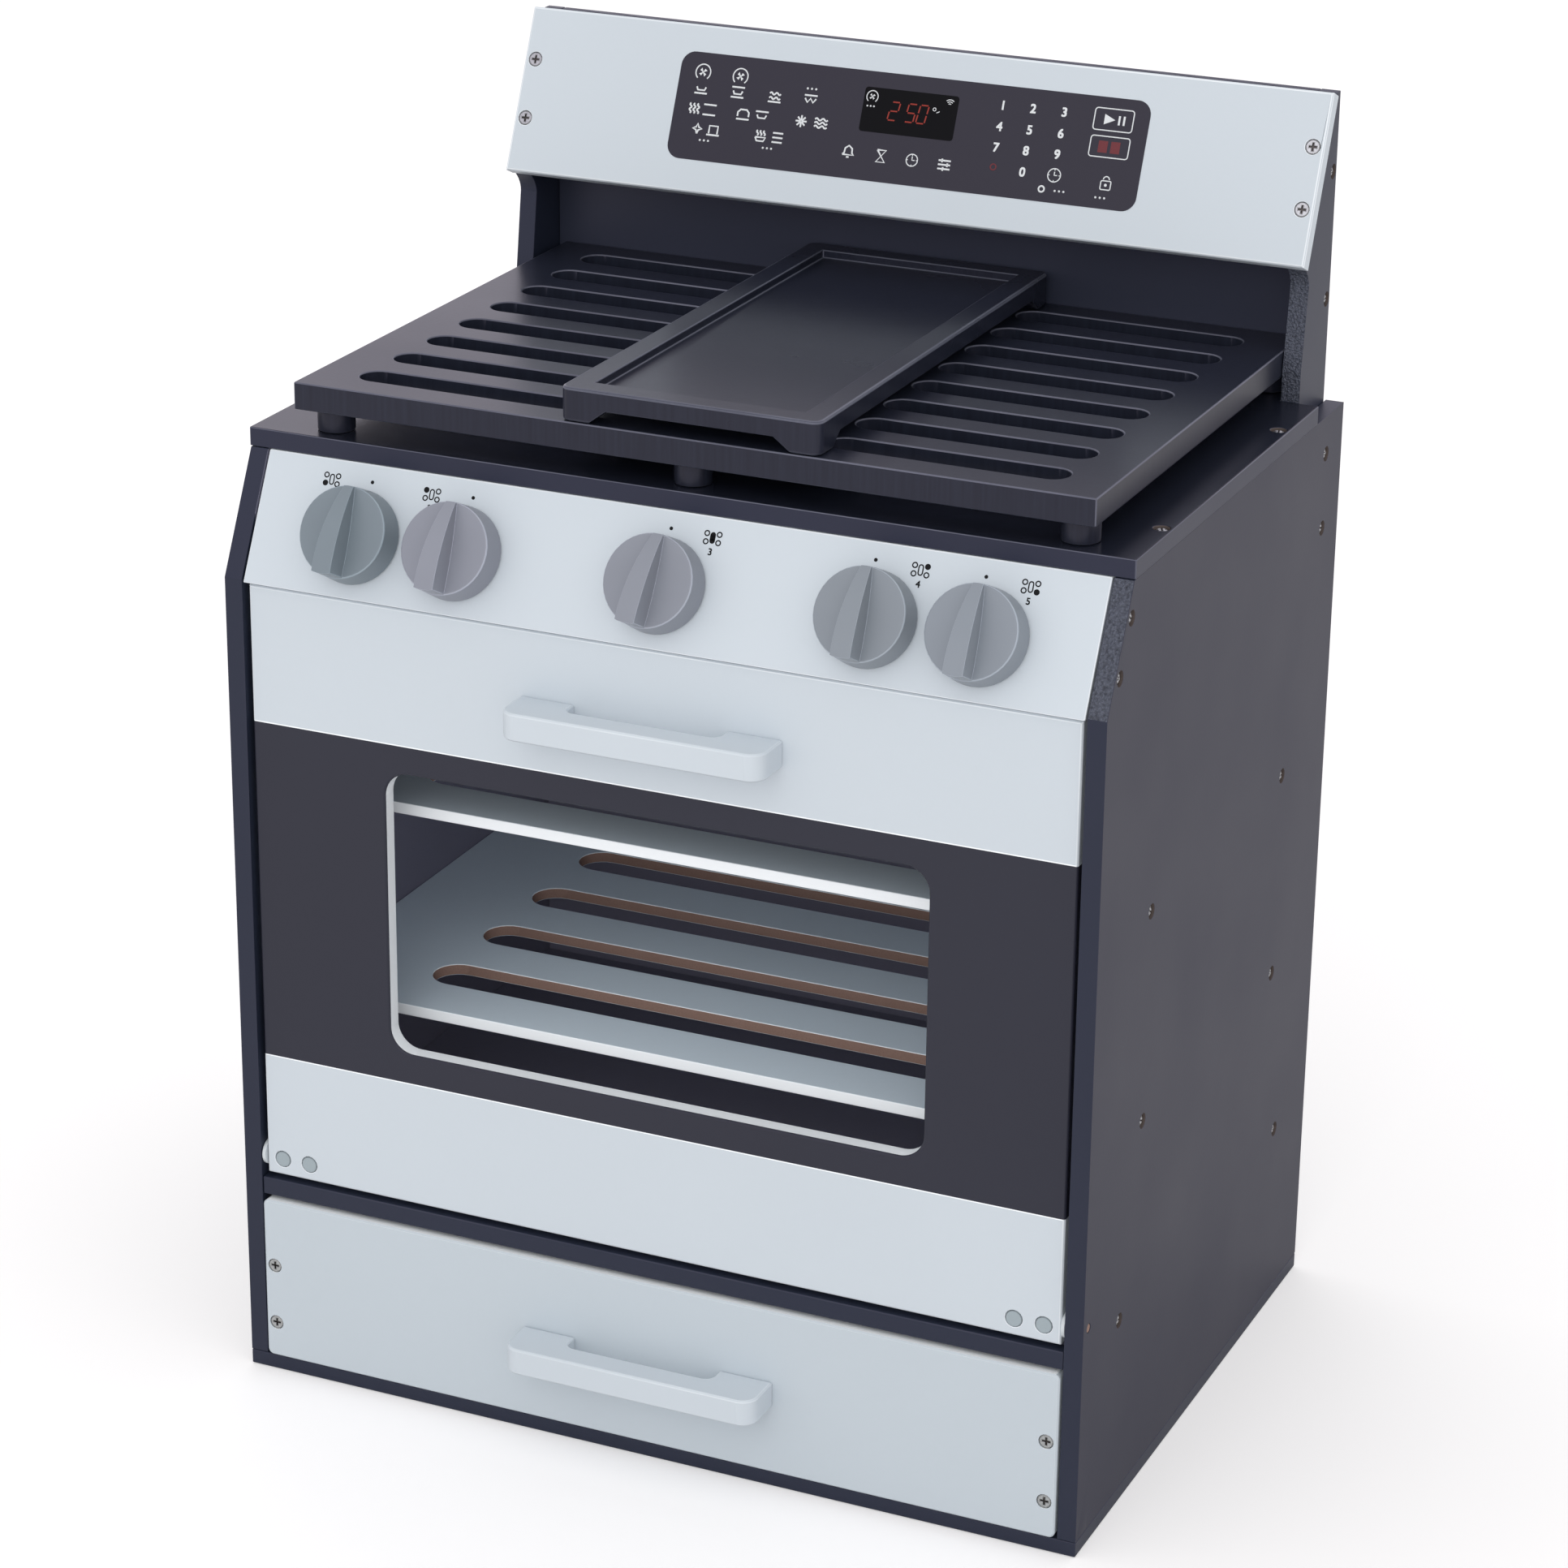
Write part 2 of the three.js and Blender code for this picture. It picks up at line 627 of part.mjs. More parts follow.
// Magnet catch inside the oven's top left corner, and its steel strike on the door
const doorRear = doorRecess + doorThickness;
const catchFront = doorRear + fitGap + strikeThickness + fitGap;
const catchTop = kneeHeight - catchDrop;
add('magnet_catch', block(
  -boardHalfWidth, -boardHalfWidth + catchWidth, catchFront, catchFront + catchDepth,
  catchTop - catchHeight, catchTop), finish(colours.pale, 0.5));
add('strike_plate', barY(strikeRadius, doorRear + fitGap, doorRear + fitGap + strikeThickness,
  -boardHalfWidth + catchWidth / 2, catchTop - catchHeight / 2, 24), finish(colours.steel, 0.3, 1));

// Screw along +Z of its own frame: the head's top is at the origin
function screw() {
  const profile = [
    [0, -screwLength],
    [screwShankRadius, -screwLength + screwTip],
    [screwShankRadius, -screwHeadHeight],
    [screwHeadRadius, -screwHeadHeight],
    [screwHeadRadius, 0],
    [0, 0],
  ];
  const body = new THREE.LatheGeometry(
    profile.map(([r, z]) => new THREE.Vector2(r, z)), 20).rotateX(Math.PI / 2);
  const half = screwCrossLength / 2;
  const thin = screwCrossWidth / 2;
  return cutAway(body, [
    block(-half, half, -thin, thin, -screwCrossDepth, cutOverrun),
    block(-thin, thin, -half, half, -screwCrossDepth, cutOverrun),
  ]);
}

// Hole that a screw sits in, in the same frame: a well for the head and a bore for the shank
function screwHole() {
  const well = barZ(screwHeadRadius + screwClearance, -screwHeadHeight - fitGap - screwClearance,
    cutOverrun, 0, 0);
  const bore = barZ(screwShankRadius + screwClearance, -screwLength - screwClearance,
    -screwHeadHeight, 0, 0);
  return toGeometry(toSolid(well).add(toSolid(bore)));
}
const screwSink = fitGap;       // head's top below the board's face
const screwSteel = () => finish(colours.steel, 0.3, 1);

// Drawer: a white front on a box of four boards, running on the base board
const drawerFace = -drawerProud;
const drawerSideOuter = drawerWidth / 2 - drawerBoxInset;
const drawerSideInner = drawerSideOuter - boardThickness;
const drawerBoxFront = drawerFace + boardThickness + fitGap;
const drawerBoxRear = backFront - drawerRearGap;
const drawerScrewPlaces = drawerScrewRises.flatMap((rise) => [-1, 1].map((side) => [
  side * (drawerSideOuter + drawerSideInner) / 2, drawerBottom + rise]));

function facingFront(geometry, x, y, z) {
  return geometry.rotateX(Math.PI / 2).translate(x, y, z);
}
function drawerScrewHoles() {
  return drawerScrewPlaces.map(([x, z]) => facingFront(screwHole(), x, drawerFace + screwSink, z));
}
function drawerFront() {
  const outline = roundedRectangle(new THREE.Shape(), -drawerWidth / 2, drawerBottom,
    drawerWidth, drawerFrontHeight, drawerCornerRadius);
  return cutAway(extrudeY(outline, drawerFace, drawerFace + boardThickness, boardEdge),
    drawerScrewHoles());
}
function drawerSide(side) {
  const xs = [side * drawerSideInner, side * drawerSideOuter];
  const z0 = baseThickness + drawerRunGap;
  return cutAway(block(Math.min(...xs), Math.max(...xs), drawerBoxFront, drawerBoxRear,
    z0, z0 + drawerBoxHeight), drawerScrewHoles());
}
const drawerInside = drawerSideInner - fitGap;
const drawerFloorTop = baseThickness + drawerRunGap + drawerBottomThickness;
add('drawer_front', drawerFront(), finish(colours.pale, 0.45));
add('drawer_handle', handle(drawerFace, drawerBottom + drawerHandleRise), finish(colours.pale, 0.45));
add('drawer_side_left', drawerSide(-1), finish(colours.plywood, 0.7));
add('drawer_side_right', drawerSide(1), finish(colours.plywood, 0.7));
add('drawer_back', block(-drawerInside, drawerInside, drawerBoxRear - boardThickness, drawerBoxRear,
  drawerFloorTop + fitGap, baseThickness + drawerRunGap + drawerBoxHeight),
finish(colours.plywood, 0.7));
add('drawer_bottom', block(-drawerInside, drawerInside, drawerBoxFront, drawerBoxRear,
  baseThickness + drawerRunGap, drawerFloorTop), finish(colours.plywood, 0.7));
drawerScrewPlaces.forEach(([x, z], i) => {
  add(`drawer_screw_${i + 1}`, facingFront(screw(), x, drawerFace + screwSink, z), screwSteel());
});

// Hob grate: a thick slotted board on six round feet
function hobGrate() {
  const outline = rectangle(grateLeft, grateSetback, grateRight - grateLeft, grateDepth);
  for (let i = 0; i < grateSlotCount; i++) {
    const middle = grateSetback + grateSlotSetback + i * grateSlotPitch;
    const starts = [grateLeft + grateSlotEdge, grateRight - grateSlotEdge - grateSlotLength];
    for (const start of starts) {
      outline.holes.push(slotHole(start, grateSlotLength, middle, grateSlotWidth));
    }
  }
  return extrudeZ(outline, grateUnderside, grateTop);
}
add('hob_grate', hobGrate(), finish(colours.dark, 0.4));

const footPlaces = [];
for (const y of [grateSetback + frontFootInset, grateSetback + grateDepth - rearFootInset]) {
  for (const x of [grateLeft + leftFootInset, (grateLeft + grateRight) / 2, grateRight - rightFootInset]) {
    footPlaces.push([x, y]);
  }
}
footPlaces.forEach(([x, y], i) => {
  add(`grate_foot_${i + 1}`, barZ(footRadius, hobHeight + fitGap, hobHeight + fitGap + footHeight,
    x, y, 28), finish(colours.dark, 0.45));
});

// Griddle: a loose plate with a shallow recess, standing on four corner legs
function griddle() {
  const bottom = grateTop + fitGap;
  const top = bottom + griddleHeight;
  const left = griddleLeft;
  const right = left + griddleWidth;
  const front = grateSetback;
  const rear = grateSetback + grateDepth - griddleRearGap;
  const outline = roundedRectangle(new THREE.Shape(), left, front, griddleWidth, rear - front,
    griddleCornerRadius);
  const plate = extrudeZ(outline, bottom, top, boardEdge);
  const recess = block(left + griddleRim, right - griddleRim, front + griddleRim, rear - griddleRim,
    top - griddleRecess, top + cutOverrun);
  const arch = (from, to) => polygon([
    [from + griddleLegWidth, bottom - cutOverrun],
    [to - griddleLegWidth, bottom - cutOverrun],
    [to - griddleLegWidth, bottom],
    [to - griddleLegWidth - griddleLegSlope, bottom + griddleLegHeight],
    [from + griddleLegWidth + griddleLegSlope, bottom + griddleLegHeight],
    [from + griddleLegWidth, bottom],
  ]);
  return cutAway(plate, [
    recess,
    extrudeY(arch(left, right), front - cutOverrun, rear + cutOverrun),
    extrudeX(arch(front, rear), left - cutOverrun, right + cutOverrun),
  ]);
}
add('griddle', griddle(), finish(colours.dark, 0.35));

// Display panel screws go through the panel into the brackets' leaning edges.
const displayScrewPlaces = displayScrewShares.flatMap((share) => [-1, 1].map((side) => [
  side * (outerBracketFace + innerBracketFace) / 2, share * displayHeight]));
function displayScrewHoles() {
  return displayScrewPlaces.map(([x, y]) => screwHole().translate(x, y, -screwSink));
}

// Splash bracket: stands inside a side panel, is screwed to it below the hob, and leans forward
// above the hob under the display panel
function splashBracket(side) {
  const behind = displayThickness + fitGap;
  const onBack = (along) => [
    displaySetback + along * Math.sin(displayLean) + behind * Math.cos(displayLean),
    hobHeight + displayRise + along * Math.cos(displayLean) - behind * Math.sin(displayLean),
  ];
  const [lipY, lipZ] = onBack(0);
  const [crownY, crownZ] = onBack(displayHeight + crownRise);
  const neckY = cabinetDepth - bracketNeckReach;
  const neckZ = lipZ - bracketNeckDrop;
  const outline = new THREE.Shape();
  outline.moveTo(bracketToe, tongueBottom);
  outline.lineTo(backRear, tongueBottom);
  outline.lineTo(backRear, crownZ);
  outline.lineTo(crownY, crownZ);
  outline.lineTo(lipY, lipZ);
  outline.quadraticCurveTo(neckY, (lipZ + neckZ) / 2, neckY, neckZ);
  outline.lineTo(bracketToe, hobHeight + bracketShoulderRise);
  const outer = outerBracketFace;
  const cuts = displayScrewHoles().map((hole) => hole.applyMatrix4(displayFrame.matrix));
  for (const rise of bracketScrewRises) {
    cuts.push(barX(wellRadius, outer - wellDepth, outer + cutOverrun,
      backFront + backThickness / 2, hobHeight + rise));
    cuts.push(barX(wellRadius, -outer - cutOverrun, -outer + wellDepth,
      backFront + backThickness / 2, hobHeight + rise));
  }
  const xs = [side * innerBracketFace, side * outer];
  return cutAway(extrudeX(outline, Math.min(...xs), Math.max(...xs)), cuts);
}
add('splash_bracket_left', splashBracket(-1), finish(colours.dark, 0.5));
add('splash_bracket_right', splashBracket(1), finish(colours.dark, 0.5));

// Splash back: the board between the brackets, bevelled along its top behind the display panel
function splashBack() {
  const behind = displayThickness + fitGap;
  const startY = displaySetback + behind * Math.cos(displayLean);
  const startZ = hobHeight + displayRise - behind * Math.sin(displayLean);
  const meetZ = startZ + (backFront - startY) / Math.tan(displayLean);
  const crownY = startY + (displayHeight + crownRise) * Math.sin(displayLean);
  const crownZ = startZ + (displayHeight + crownRise) * Math.cos(displayLean);
  const half = innerBracketFace - fitGap;
  return extrudeX(polygon([
    [backFront, tongueBottom],
    [backRear, tongueBottom],
    [backRear, crownZ],
    [crownY, crownZ],
    [backFront, meetZ],
  ]), -half, half);
}
add('splash_back', splashBack(), finish(colours.dark, 0.45));

// Display panel with its printed overlay sheet
function displayPanel() {
  const outline = rectangle(-displayWidth / 2, 0, displayWidth, displayHeight);
  return cutAway(extrudeZ(outline, -displayThickness, 0, boardEdge), displayScrewHoles());
}
add('display_panel', displayPanel(), finish(colours.pale, 0.45), displayFrame);
const overlayOutline = roundedRectangle(new THREE.Shape(), overlayShift - overlayWidth / 2, overlayRise,
  overlayWidth, overlayHeight, overlayCornerRadius);
add('display_overlay', extrudeZ(overlayOutline, fitGap, fitGap + overlayThickness),
  finish(colours.overlay, 0.4), displayFrame);
displayScrewPlaces.forEach(([x, y], i) => {
  const piece = add(`display_screw_${i + 1}`, screw(), screwSteel(), displayFrame);
  piece.position.set(x, y, -screwSink);
});

export default oven;
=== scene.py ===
# A toy oven: a painted fibreboard play range with a drop-down door, a drawer, five knobs,
# a slotted hob grate with a loose griddle, and a leaning display panel above the hob.

import json
from math import cos, pi, radians, sin

import bmesh
import bpy
from mathutils import Matrix, Vector


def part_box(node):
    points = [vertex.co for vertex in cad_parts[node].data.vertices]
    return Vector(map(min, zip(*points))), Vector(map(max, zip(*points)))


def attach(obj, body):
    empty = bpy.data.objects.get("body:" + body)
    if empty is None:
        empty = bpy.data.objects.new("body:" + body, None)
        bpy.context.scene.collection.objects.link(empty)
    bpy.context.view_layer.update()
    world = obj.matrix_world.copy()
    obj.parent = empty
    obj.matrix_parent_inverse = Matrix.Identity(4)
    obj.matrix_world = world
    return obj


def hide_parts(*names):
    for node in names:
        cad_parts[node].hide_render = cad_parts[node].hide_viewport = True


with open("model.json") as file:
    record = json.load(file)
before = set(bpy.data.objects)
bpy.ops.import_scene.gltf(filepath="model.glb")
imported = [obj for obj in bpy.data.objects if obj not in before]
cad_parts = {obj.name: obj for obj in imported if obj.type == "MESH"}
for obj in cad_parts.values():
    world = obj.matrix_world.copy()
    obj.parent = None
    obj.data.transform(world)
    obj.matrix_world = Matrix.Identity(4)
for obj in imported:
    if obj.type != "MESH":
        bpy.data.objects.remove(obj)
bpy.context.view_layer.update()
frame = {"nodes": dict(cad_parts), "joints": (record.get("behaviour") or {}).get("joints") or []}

# Base board: fibreboard sprayed with satin dark blue-grey paint, like the whole cabinet.
# Its sawn edges are eased by hand before painting, so each one catches a thin line of light, which
# the paints also draw in as a lighter colour, a painted highlight.
mm = 0.001
merge_distance = 0.01 * mm
flat_angle = radians(0.5)
sharp_angle = radians(35)
board_edge = 0.5 * mm
fine_edge = 0.3 * mm
broad_face = 300 * mm * mm
sliver = 0.02 * mm * mm
underside, underside_highlight_share = -0.2, 0.2
facing = 0.9


def board_copy(node, edge=board_edge, segments=2):
    """The frame's solid as one clean shell with its sharp edges eased; eased faces are marked for the
    painted edge tone, upward ones fully and downward ones less.
    """
    shell = bmesh.new()
    shell.from_mesh(frame["nodes"][node].data)
    bmesh.ops.remove_doubles(shell, verts=shell.verts, dist=merge_distance)
    bmesh.ops.dissolve_degenerate(shell, dist=merge_distance, edges=shell.edges)
    bmesh.ops.dissolve_limit(shell, angle_limit=flat_angle, verts=shell.verts, edges=shell.edges)
    eased = shell.faces.layers.float.new("eased")
    sharp = [line for line in shell.edges if line.calc_face_angle(0) > sharp_angle
             and min(face.calc_area() for face in line.link_faces) > sliver]
    shortest = min(line.calc_length() for line in sharp)
    made = bmesh.ops.bevel(
        shell, geom=sharp, offset=edge, offset_type="OFFSET", affect="EDGES", segments=segments,
        profile=0.5, material=-1, clamp_overlap=shortest < 2 * edge, loop_slide=False)
    # Upward eased faces take the full painted edge tone and downward ones a fifth of it, as if lit
    # from above.
    for face in made["faces"]:
        face[eased] = 1 if face.normal.z > underside else underside_highlight_share
    return shell


def add_object(name, data):
    """An object in the scene."""
    made = bpy.data.objects.new(name, data)
    bpy.context.scene.collection.objects.link(made)
    return made


def lay_piece(shell, name, materials, body="root", nodes=()):
    """Makes a piece of a shell, at the origin, riding on its body."""
    for face in shell.faces:
        face.smooth = face.calc_area() < broad_face
    mesh = bpy.data.meshes.new(name)
    shell.to_mesh(mesh)
    shell.free()
    for material in materials:
        mesh.materials.append(material)
    piece = add_object(name, mesh)
    piece.modifiers.new("flat_faces", "WEIGHTED_NORMAL").keep_sharp = True
    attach(piece, body)
    if nodes:
        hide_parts(*nodes)


def dress(node, finish, material, body="root", edge=board_edge, segments=2):
    """Sets an eased copy of the frame's solid in its place, named after its finish."""
    shell = board_copy(node, edge, segments)
    lay_piece(shell, f"{node}_{finish}", [material], body, [node])


def feed(tree, node, values):
    """Fills a node's inputs: a socket is linked, and anything else is set as a value."""
    for key, value in values.items():
        if isinstance(value, bpy.types.NodeSocket):
            tree.links.new(value, node.inputs[key])
        else:
            node.inputs[key].default_value = value


def add_node(tree, kind, values=None, **settings):
    """A shader node of a kind, with its settings and its inputs' values."""
    made = tree.nodes.new("ShaderNode" + kind)
    for key, value in settings.items():
        setattr(made, key, value)
    feed(tree, made, values or {})
    return made


def noise(tree, place, scale, detail=2.0, distortion=0.0):
    """The value of a cloudy pattern."""
    return add_node(tree, "TexNoise", {
        "Vector": place, "Scale": scale, "Detail": detail, "Distortion": distortion}).outputs["Fac"]


def reckon(tree, operation, *values):
    """The result of a sum on some values."""
    return add_node(tree, "Math", dict(enumerate(values)), operation=operation).outputs[0]


def spread(tree, value, low, high, start=0.0, end=1.0):
    """A value between start and end, spread from low to high."""
    return add_node(tree, "MapRange", {
        "Value": value, "From Min": start, "From Max": end, "To Min": low,
        "To Max": high}).outputs["Result"]


def painted_edge_share(tree):
    """How much of its material's painted edge tone a face takes: a highlight on most paints and
    plastics, a shade on the steel.
    """
    return add_node(tree, "Attribute", attribute_name="eased").outputs["Fac"]


colour_inputs, colour_result = (0, 6, 7), 2


def mix_colours(tree, factor, first, second):
    """The colour between two others."""
    values = dict(zip(colour_inputs, (factor, first, second)))
    return add_node(tree, "Mix", values, data_type="RGBA").outputs[colour_result]


def rgb(red, green, blue):
    """A colour written as it looks on a screen, 0 to 255, in the shader's own scale."""
    shares = [value / 255 for value in (red, green, blue)]
    linear = [share / 12.92 if share <= 0.04045 else ((share + 0.055) / 1.055) ** 2.4
              for share in shares]
    return (*linear, 1)


def toned(colour, factor):
    """A colour made darker or lighter."""
    return (*(min(1, factor * value) for value in colour[:3]), 1)


def start_material(name):
    """A material, its nodes, and each point's place in metres for the patterns."""
    material = bpy.data.materials.new(name)
    material.use_nodes = True
    tree = material.node_tree
    return material, tree, add_node(tree, "TexCoord").outputs["Object"]


def surface(material, colour, roughness, height=None, depth=0.0, shine=0.5, more=None):
    """Sets a material's colour, roughness and shine, and a relief whose depth is in millimetres."""
    tree = material.node_tree
    values = {"Base Color": colour, "Roughness": roughness, "Specular IOR Level": shine}
    values.update(more or {})
    if height is not None:
        relief = add_node(tree, "Bump", {"Height": height, "Distance": depth * mm})
        values["Normal"] = relief.outputs["Normal"]
    feed(tree, tree.nodes["Principled BSDF"], values)
    return material


def paint(name, colour, edge_highlight_colour, roughness, patches=0.1, edge_highlight_share=0.3, edge_highlight_cover=0.0,
          peel=900.0, depth=0.02, shine=0.36, tint=(1, 1, 1, 1)):
    """Sprayed paint with soft patches, fine orange peel, and a lighter colour along eased edges: a
    painted highlight, broken by patches of wear. Depth is the height of the peel in millimetres, and
    edge highlight cover is how much of an eased edge takes the painted highlight outside the patches
    of wear."""
    material, tree, place = start_material(name)
    broad = noise(tree, place, 11.0, 3.0)
    swing = reckon(tree, "SUBTRACT", broad, 0.5)
    speck = reckon(tree, "SUBTRACT", noise(tree, place, 420.0), 0.5)
    both = reckon(tree, "MULTIPLY_ADD", speck, 0.35, swing)
    value = reckon(tree, "MULTIPLY_ADD", both, patches, 1.0)
    coat = add_node(tree, "HueSaturation", {"Value": value, "Color": colour}).outputs["Color"]
    # Eased edges mix towards the lighter edge colour, a painted highlight, which is full in some
    # patches of wear.
    wear_and_highlight_patches = spread(tree, broad, edge_highlight_cover, 1.0, start=0.42, end=0.6)
    edge_wear_and_highlight = reckon(tree, "MULTIPLY", painted_edge_share(tree), wear_and_highlight_patches)
    edge_wear_and_highlight_share = reckon(tree, "MULTIPLY", edge_wear_and_highlight, edge_highlight_share)
    return surface(material, mix_colours(tree, edge_wear_and_highlight_share, coat, edge_highlight_colour),
                   reckon(tree, "MULTIPLY_ADD", swing, 0.12, roughness),
                   noise(tree, place, peel, 1.0), depth, shine, {"Specular Tint": tint})


# A lighter edge colour for the dark paints, a painted highlight along their eased edges; on the pale
# inner paint it draws those edges darker.
dark_edge_highlight = rgb(66, 68, 80)
# A purple tint on the dark paints' reflections, a painted reflection colour that stands in for the
# colour of the surroundings.
dark_reflection_tint = (0.92, 0.86, 1.0, 1)
dark_paint = paint("dark_paint", rgb(37, 43, 58), dark_edge_highlight, roughness=0.42, tint=dark_reflection_tint)
# A much lighter paint for the faces inside the oven, painted light that stands in for the light
# coming in through the window.
inner_lit_paint = paint("inner_painted_light_paint", rgb(122, 121, 138), dark_edge_highlight, roughness=0.5, tint=dark_reflection_tint)
# The side panels' outer faces take a darker copy of the cabinet paint with a purpler reflection tint,
# painted shade on the side faces.
side_shaded_paint = paint("side_face_painted_shade", rgb(32, 36, 52), dark_edge_highlight, roughness=0.42, shine=0.32,
                   tint=(0.94, 0.82, 0.98, 1))

dress("base_board", "painted", dark_paint)

# Side panels: upright to the knee, then leaning back. Their leaning edges are sawn board that
# drank the paint and dried pebbled. The screw wells show raw brown fibreboard under the paint.
well_radius = 3.7 * mm
well_skin, well_depth = 0.08 * mm, 3 * mm
grain_drift = 0.0016


def raw_board_material(name, dark, light, banded):
    """Bare fibreboard as it shows in a drilled or routed edge."""
    material, tree, place = start_material(name)
    fibre = noise(tree, place, 1300.0, 4.0)
    cloth = mix_colours(tree, fibre, rgb(*dark), rgb(*light))
    return surface(material, mix_colours(tree, noise(tree, place, 90.0), cloth, rgb(*banded)),
                   0.85, fibre, 0.08, shine=0.2)


def pebbled_paint_material():
    """Paint on a sawn edge that dried in small raised grains, drawn lighter on the grains' tops and
    darker between them: painted highlight and shade on the grains.
    """
    material, tree, place = start_material("pebbled_dark_paint")
    drift = add_node(tree, "TexNoise", {"Vector": place, "Scale": 500.0}).outputs["Color"]
    moved = add_node(tree, "VectorMath", {0: drift, 1: (grain_drift,) * 3, 2: place},
                     operation="MULTIPLY_ADD").outputs[0]
    grain = add_node(tree, "TexVoronoi", {"Vector": moved, "Scale": 860.0, "Smoothness": 0.6},
                     feature="SMOOTH_F1").outputs["Distance"]
    height = reckon(tree, "MULTIPLY_ADD", grain, -1.0, noise(tree, place, 1700.0))
    # Lighter grain tops and darker hollows: painted highlight and painted shade.
    return surface(material, mix_colours(tree, grain, rgb(98, 103, 118), rgb(36, 40, 50)),
                   0.3, height, 0.85)


raw_board = raw_board_material("raw_fibreboard", (74, 66, 64), (112, 101, 96), (84, 75, 72))
routed_board = raw_board_material("routed_fibreboard", (128, 104, 95), (168, 140, 128),
                                  (146, 118, 107))
pebbled_paint = pebbled_paint_material()


def open_wells(shell, centres, out):
    """Gives the walls and floors of screw wells the raw board, the second material. The centres
    lie on the board's outer face, which looks in the direction out."""
    for face in shell.faces:
        for centre in centres:
            gap = face.calc_center_median() - centre
            depth = -gap.dot(out)
            reach = (gap + depth * out).length
            if well_skin < depth < well_depth and reach < well_radius + board_edge:
                face.material_index = 1


board = 9 * mm
sides = ((-1, "left"), (1, "right"))
across, depth_axis, height_axis = Vector((1, 0, 0)), Vector((0, 1, 0)), Vector((0, 0, 1))
joints = {joint["name"]: joint for joint in frame["joints"]}
side_low, side_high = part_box("right_side_panel")
front, rear = side_low.y, side_high.y
outer_face = side_high.x
divider_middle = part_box("divider_board")[0].z + board / 2
side_screw_inset = 47.6 * mm
rack_screw_inset = 36 * mm
bracket_toe = rear - 41 * mm
bracket_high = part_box("splash_bracket_right")[1]
tongue_screw_inset, tongue_screw_drops = 17 * mm, (19 * mm, 56 * mm)
panel_screw_shares = (0.32, 0.75)

slope_out = Vector(joints["knob_3_turn"]["axis"]).normalized()
slope_up = slope_out.cross(across)
panel_thickness = 12 * mm
panel_lip = 1.1 * mm
knee = Vector((0, front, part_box("control_panel")[0].z + panel_lip))
slope_length = (side_high.z - knee.z) / slope_up.z

side_screws = [(front + side_screw_inset, divider_middle), (rear - side_screw_inset, divider_middle)]
for rack in ("lower_rack", "upper_rack"):
    low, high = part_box(rack)
    for y in (low.y + rack_screw_inset, high.y - rack_screw_inset):
        side_screws.append((y, (low.z + high.z) / 2))
for drop in tongue_screw_drops:
    side_screws.append((bracket_toe + tongue_screw_inset, side_high.z - drop))
for share in panel_screw_shares:
    spot = knee + slope_up * share * slope_length - slope_out * panel_thickness / 2
    side_screws.append((spot.y, spot.z))


def cut_across(shell, axis, place):
    """Cuts a shell's faces across an axis, without opening it."""
    bmesh.ops.bisect_plane(shell, geom=[*shell.verts, *shell.edges, *shell.faces],
                           dist=merge_distance, plane_co=axis * place, plane_no=axis)


shaded_strip = 14 * mm
slope_facing, slope_area = 0.98, 100 * mm * mm
side_paints = [dark_paint, raw_board, pebbled_paint, inner_lit_paint, side_shaded_paint]
for side, label in sides:
    shell = board_copy(f"{label}_side_panel")
    cut_across(shell, depth_axis, front + shaded_strip)
    for face in shell.faces:
        leaning = face.normal.dot(slope_out) > slope_facing and face.calc_area() > slope_area
        if side > 0 and leaning:
            face.material_index = 2
        # Inner faces behind the front strip take the lighter inner paint, painted light.
        elif side * face.normal.x < -facing and face.calc_center_median().y > front + shaded_strip:
            face.material_index = 3
        # Outer faces take the darker copy, painted shade.
        elif side * face.normal.x > facing:
            face.material_index = 4
    open_wells(shell, [Vector((side * outer_face, y, z)) for y, z in side_screws], side * across)
    lay_piece(shell, f"{label}_side_painted", side_paints,
              nodes=[f"{label}_side_panel"])

# Divider and back: the oven's floor and rear wall, the same board and paint. The floor's front
# strip, under the door, stays in the door's shade; behind it, the floor's top and the back's inner
# face take the lighter inner paint, painted light that stands in for the light inside the oven.
door_strip = 7 * mm
for node, inward in (("divider_board", height_axis), ("cabinet_back", -depth_axis)):
    shell = board_copy(node)
    strip_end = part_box(node)[0].y + door_strip * inward.z
    cut_across(shell, depth_axis, strip_end)
    for face in shell.faces:
        behind = face.calc_center_median().y >= strip_end - merge_distance
        if face.normal.dot(inward) > facing and behind:
            face.material_index = 1
    lay_piece(shell, f"{node}_painted", [dark_paint, inner_lit_paint], nodes=[node])

# Racks: pale painted boards with four routed slots. The slots were routed after painting,
# so their walls are raw board between two thin painted lips. The upper lips and the front
# face take a near-white paint, a painted highlight.
satin = {"roughness": 0.38, "patches": 0.03, "edge_highlight_share": 0.8, "edge_highlight_cover": 0.6, "depth": 0.015}
pale_blue_grey = rgb(203, 211, 218)
# A near-white edge colour for the pale paints, a painted highlight along their eased edges.
pale_edge_highlight = rgb(242, 246, 250)
pale_paint = paint("pale_paint", pale_blue_grey, pale_edge_highlight, **satin)
# The racks take a paler copy of the pale paint, painted light inside the oven.
rack_lit_paint = paint("rack_lit_paint", rgb(214, 227, 237), pale_edge_highlight, roughness=0.45, patches=0.05,
                   edge_highlight_share=0.5)
# A near-white paint, used for painted light on the racks' upper lips and front faces, the window's
# jamb and sill and the drawer front's top face; it also draws a thin line along each edge of the
# door's band.
painted_light_white = paint("painted_light_white_paint", rgb(248, 252, 255), pale_edge_highlight, roughness=0.5, patches=0.03,
                  edge_highlight_share=0.2, depth=0.015)
rack_edge = 0.35 * mm
rack_rim = 20 * mm
upright, tilted = 0.2, 0.1

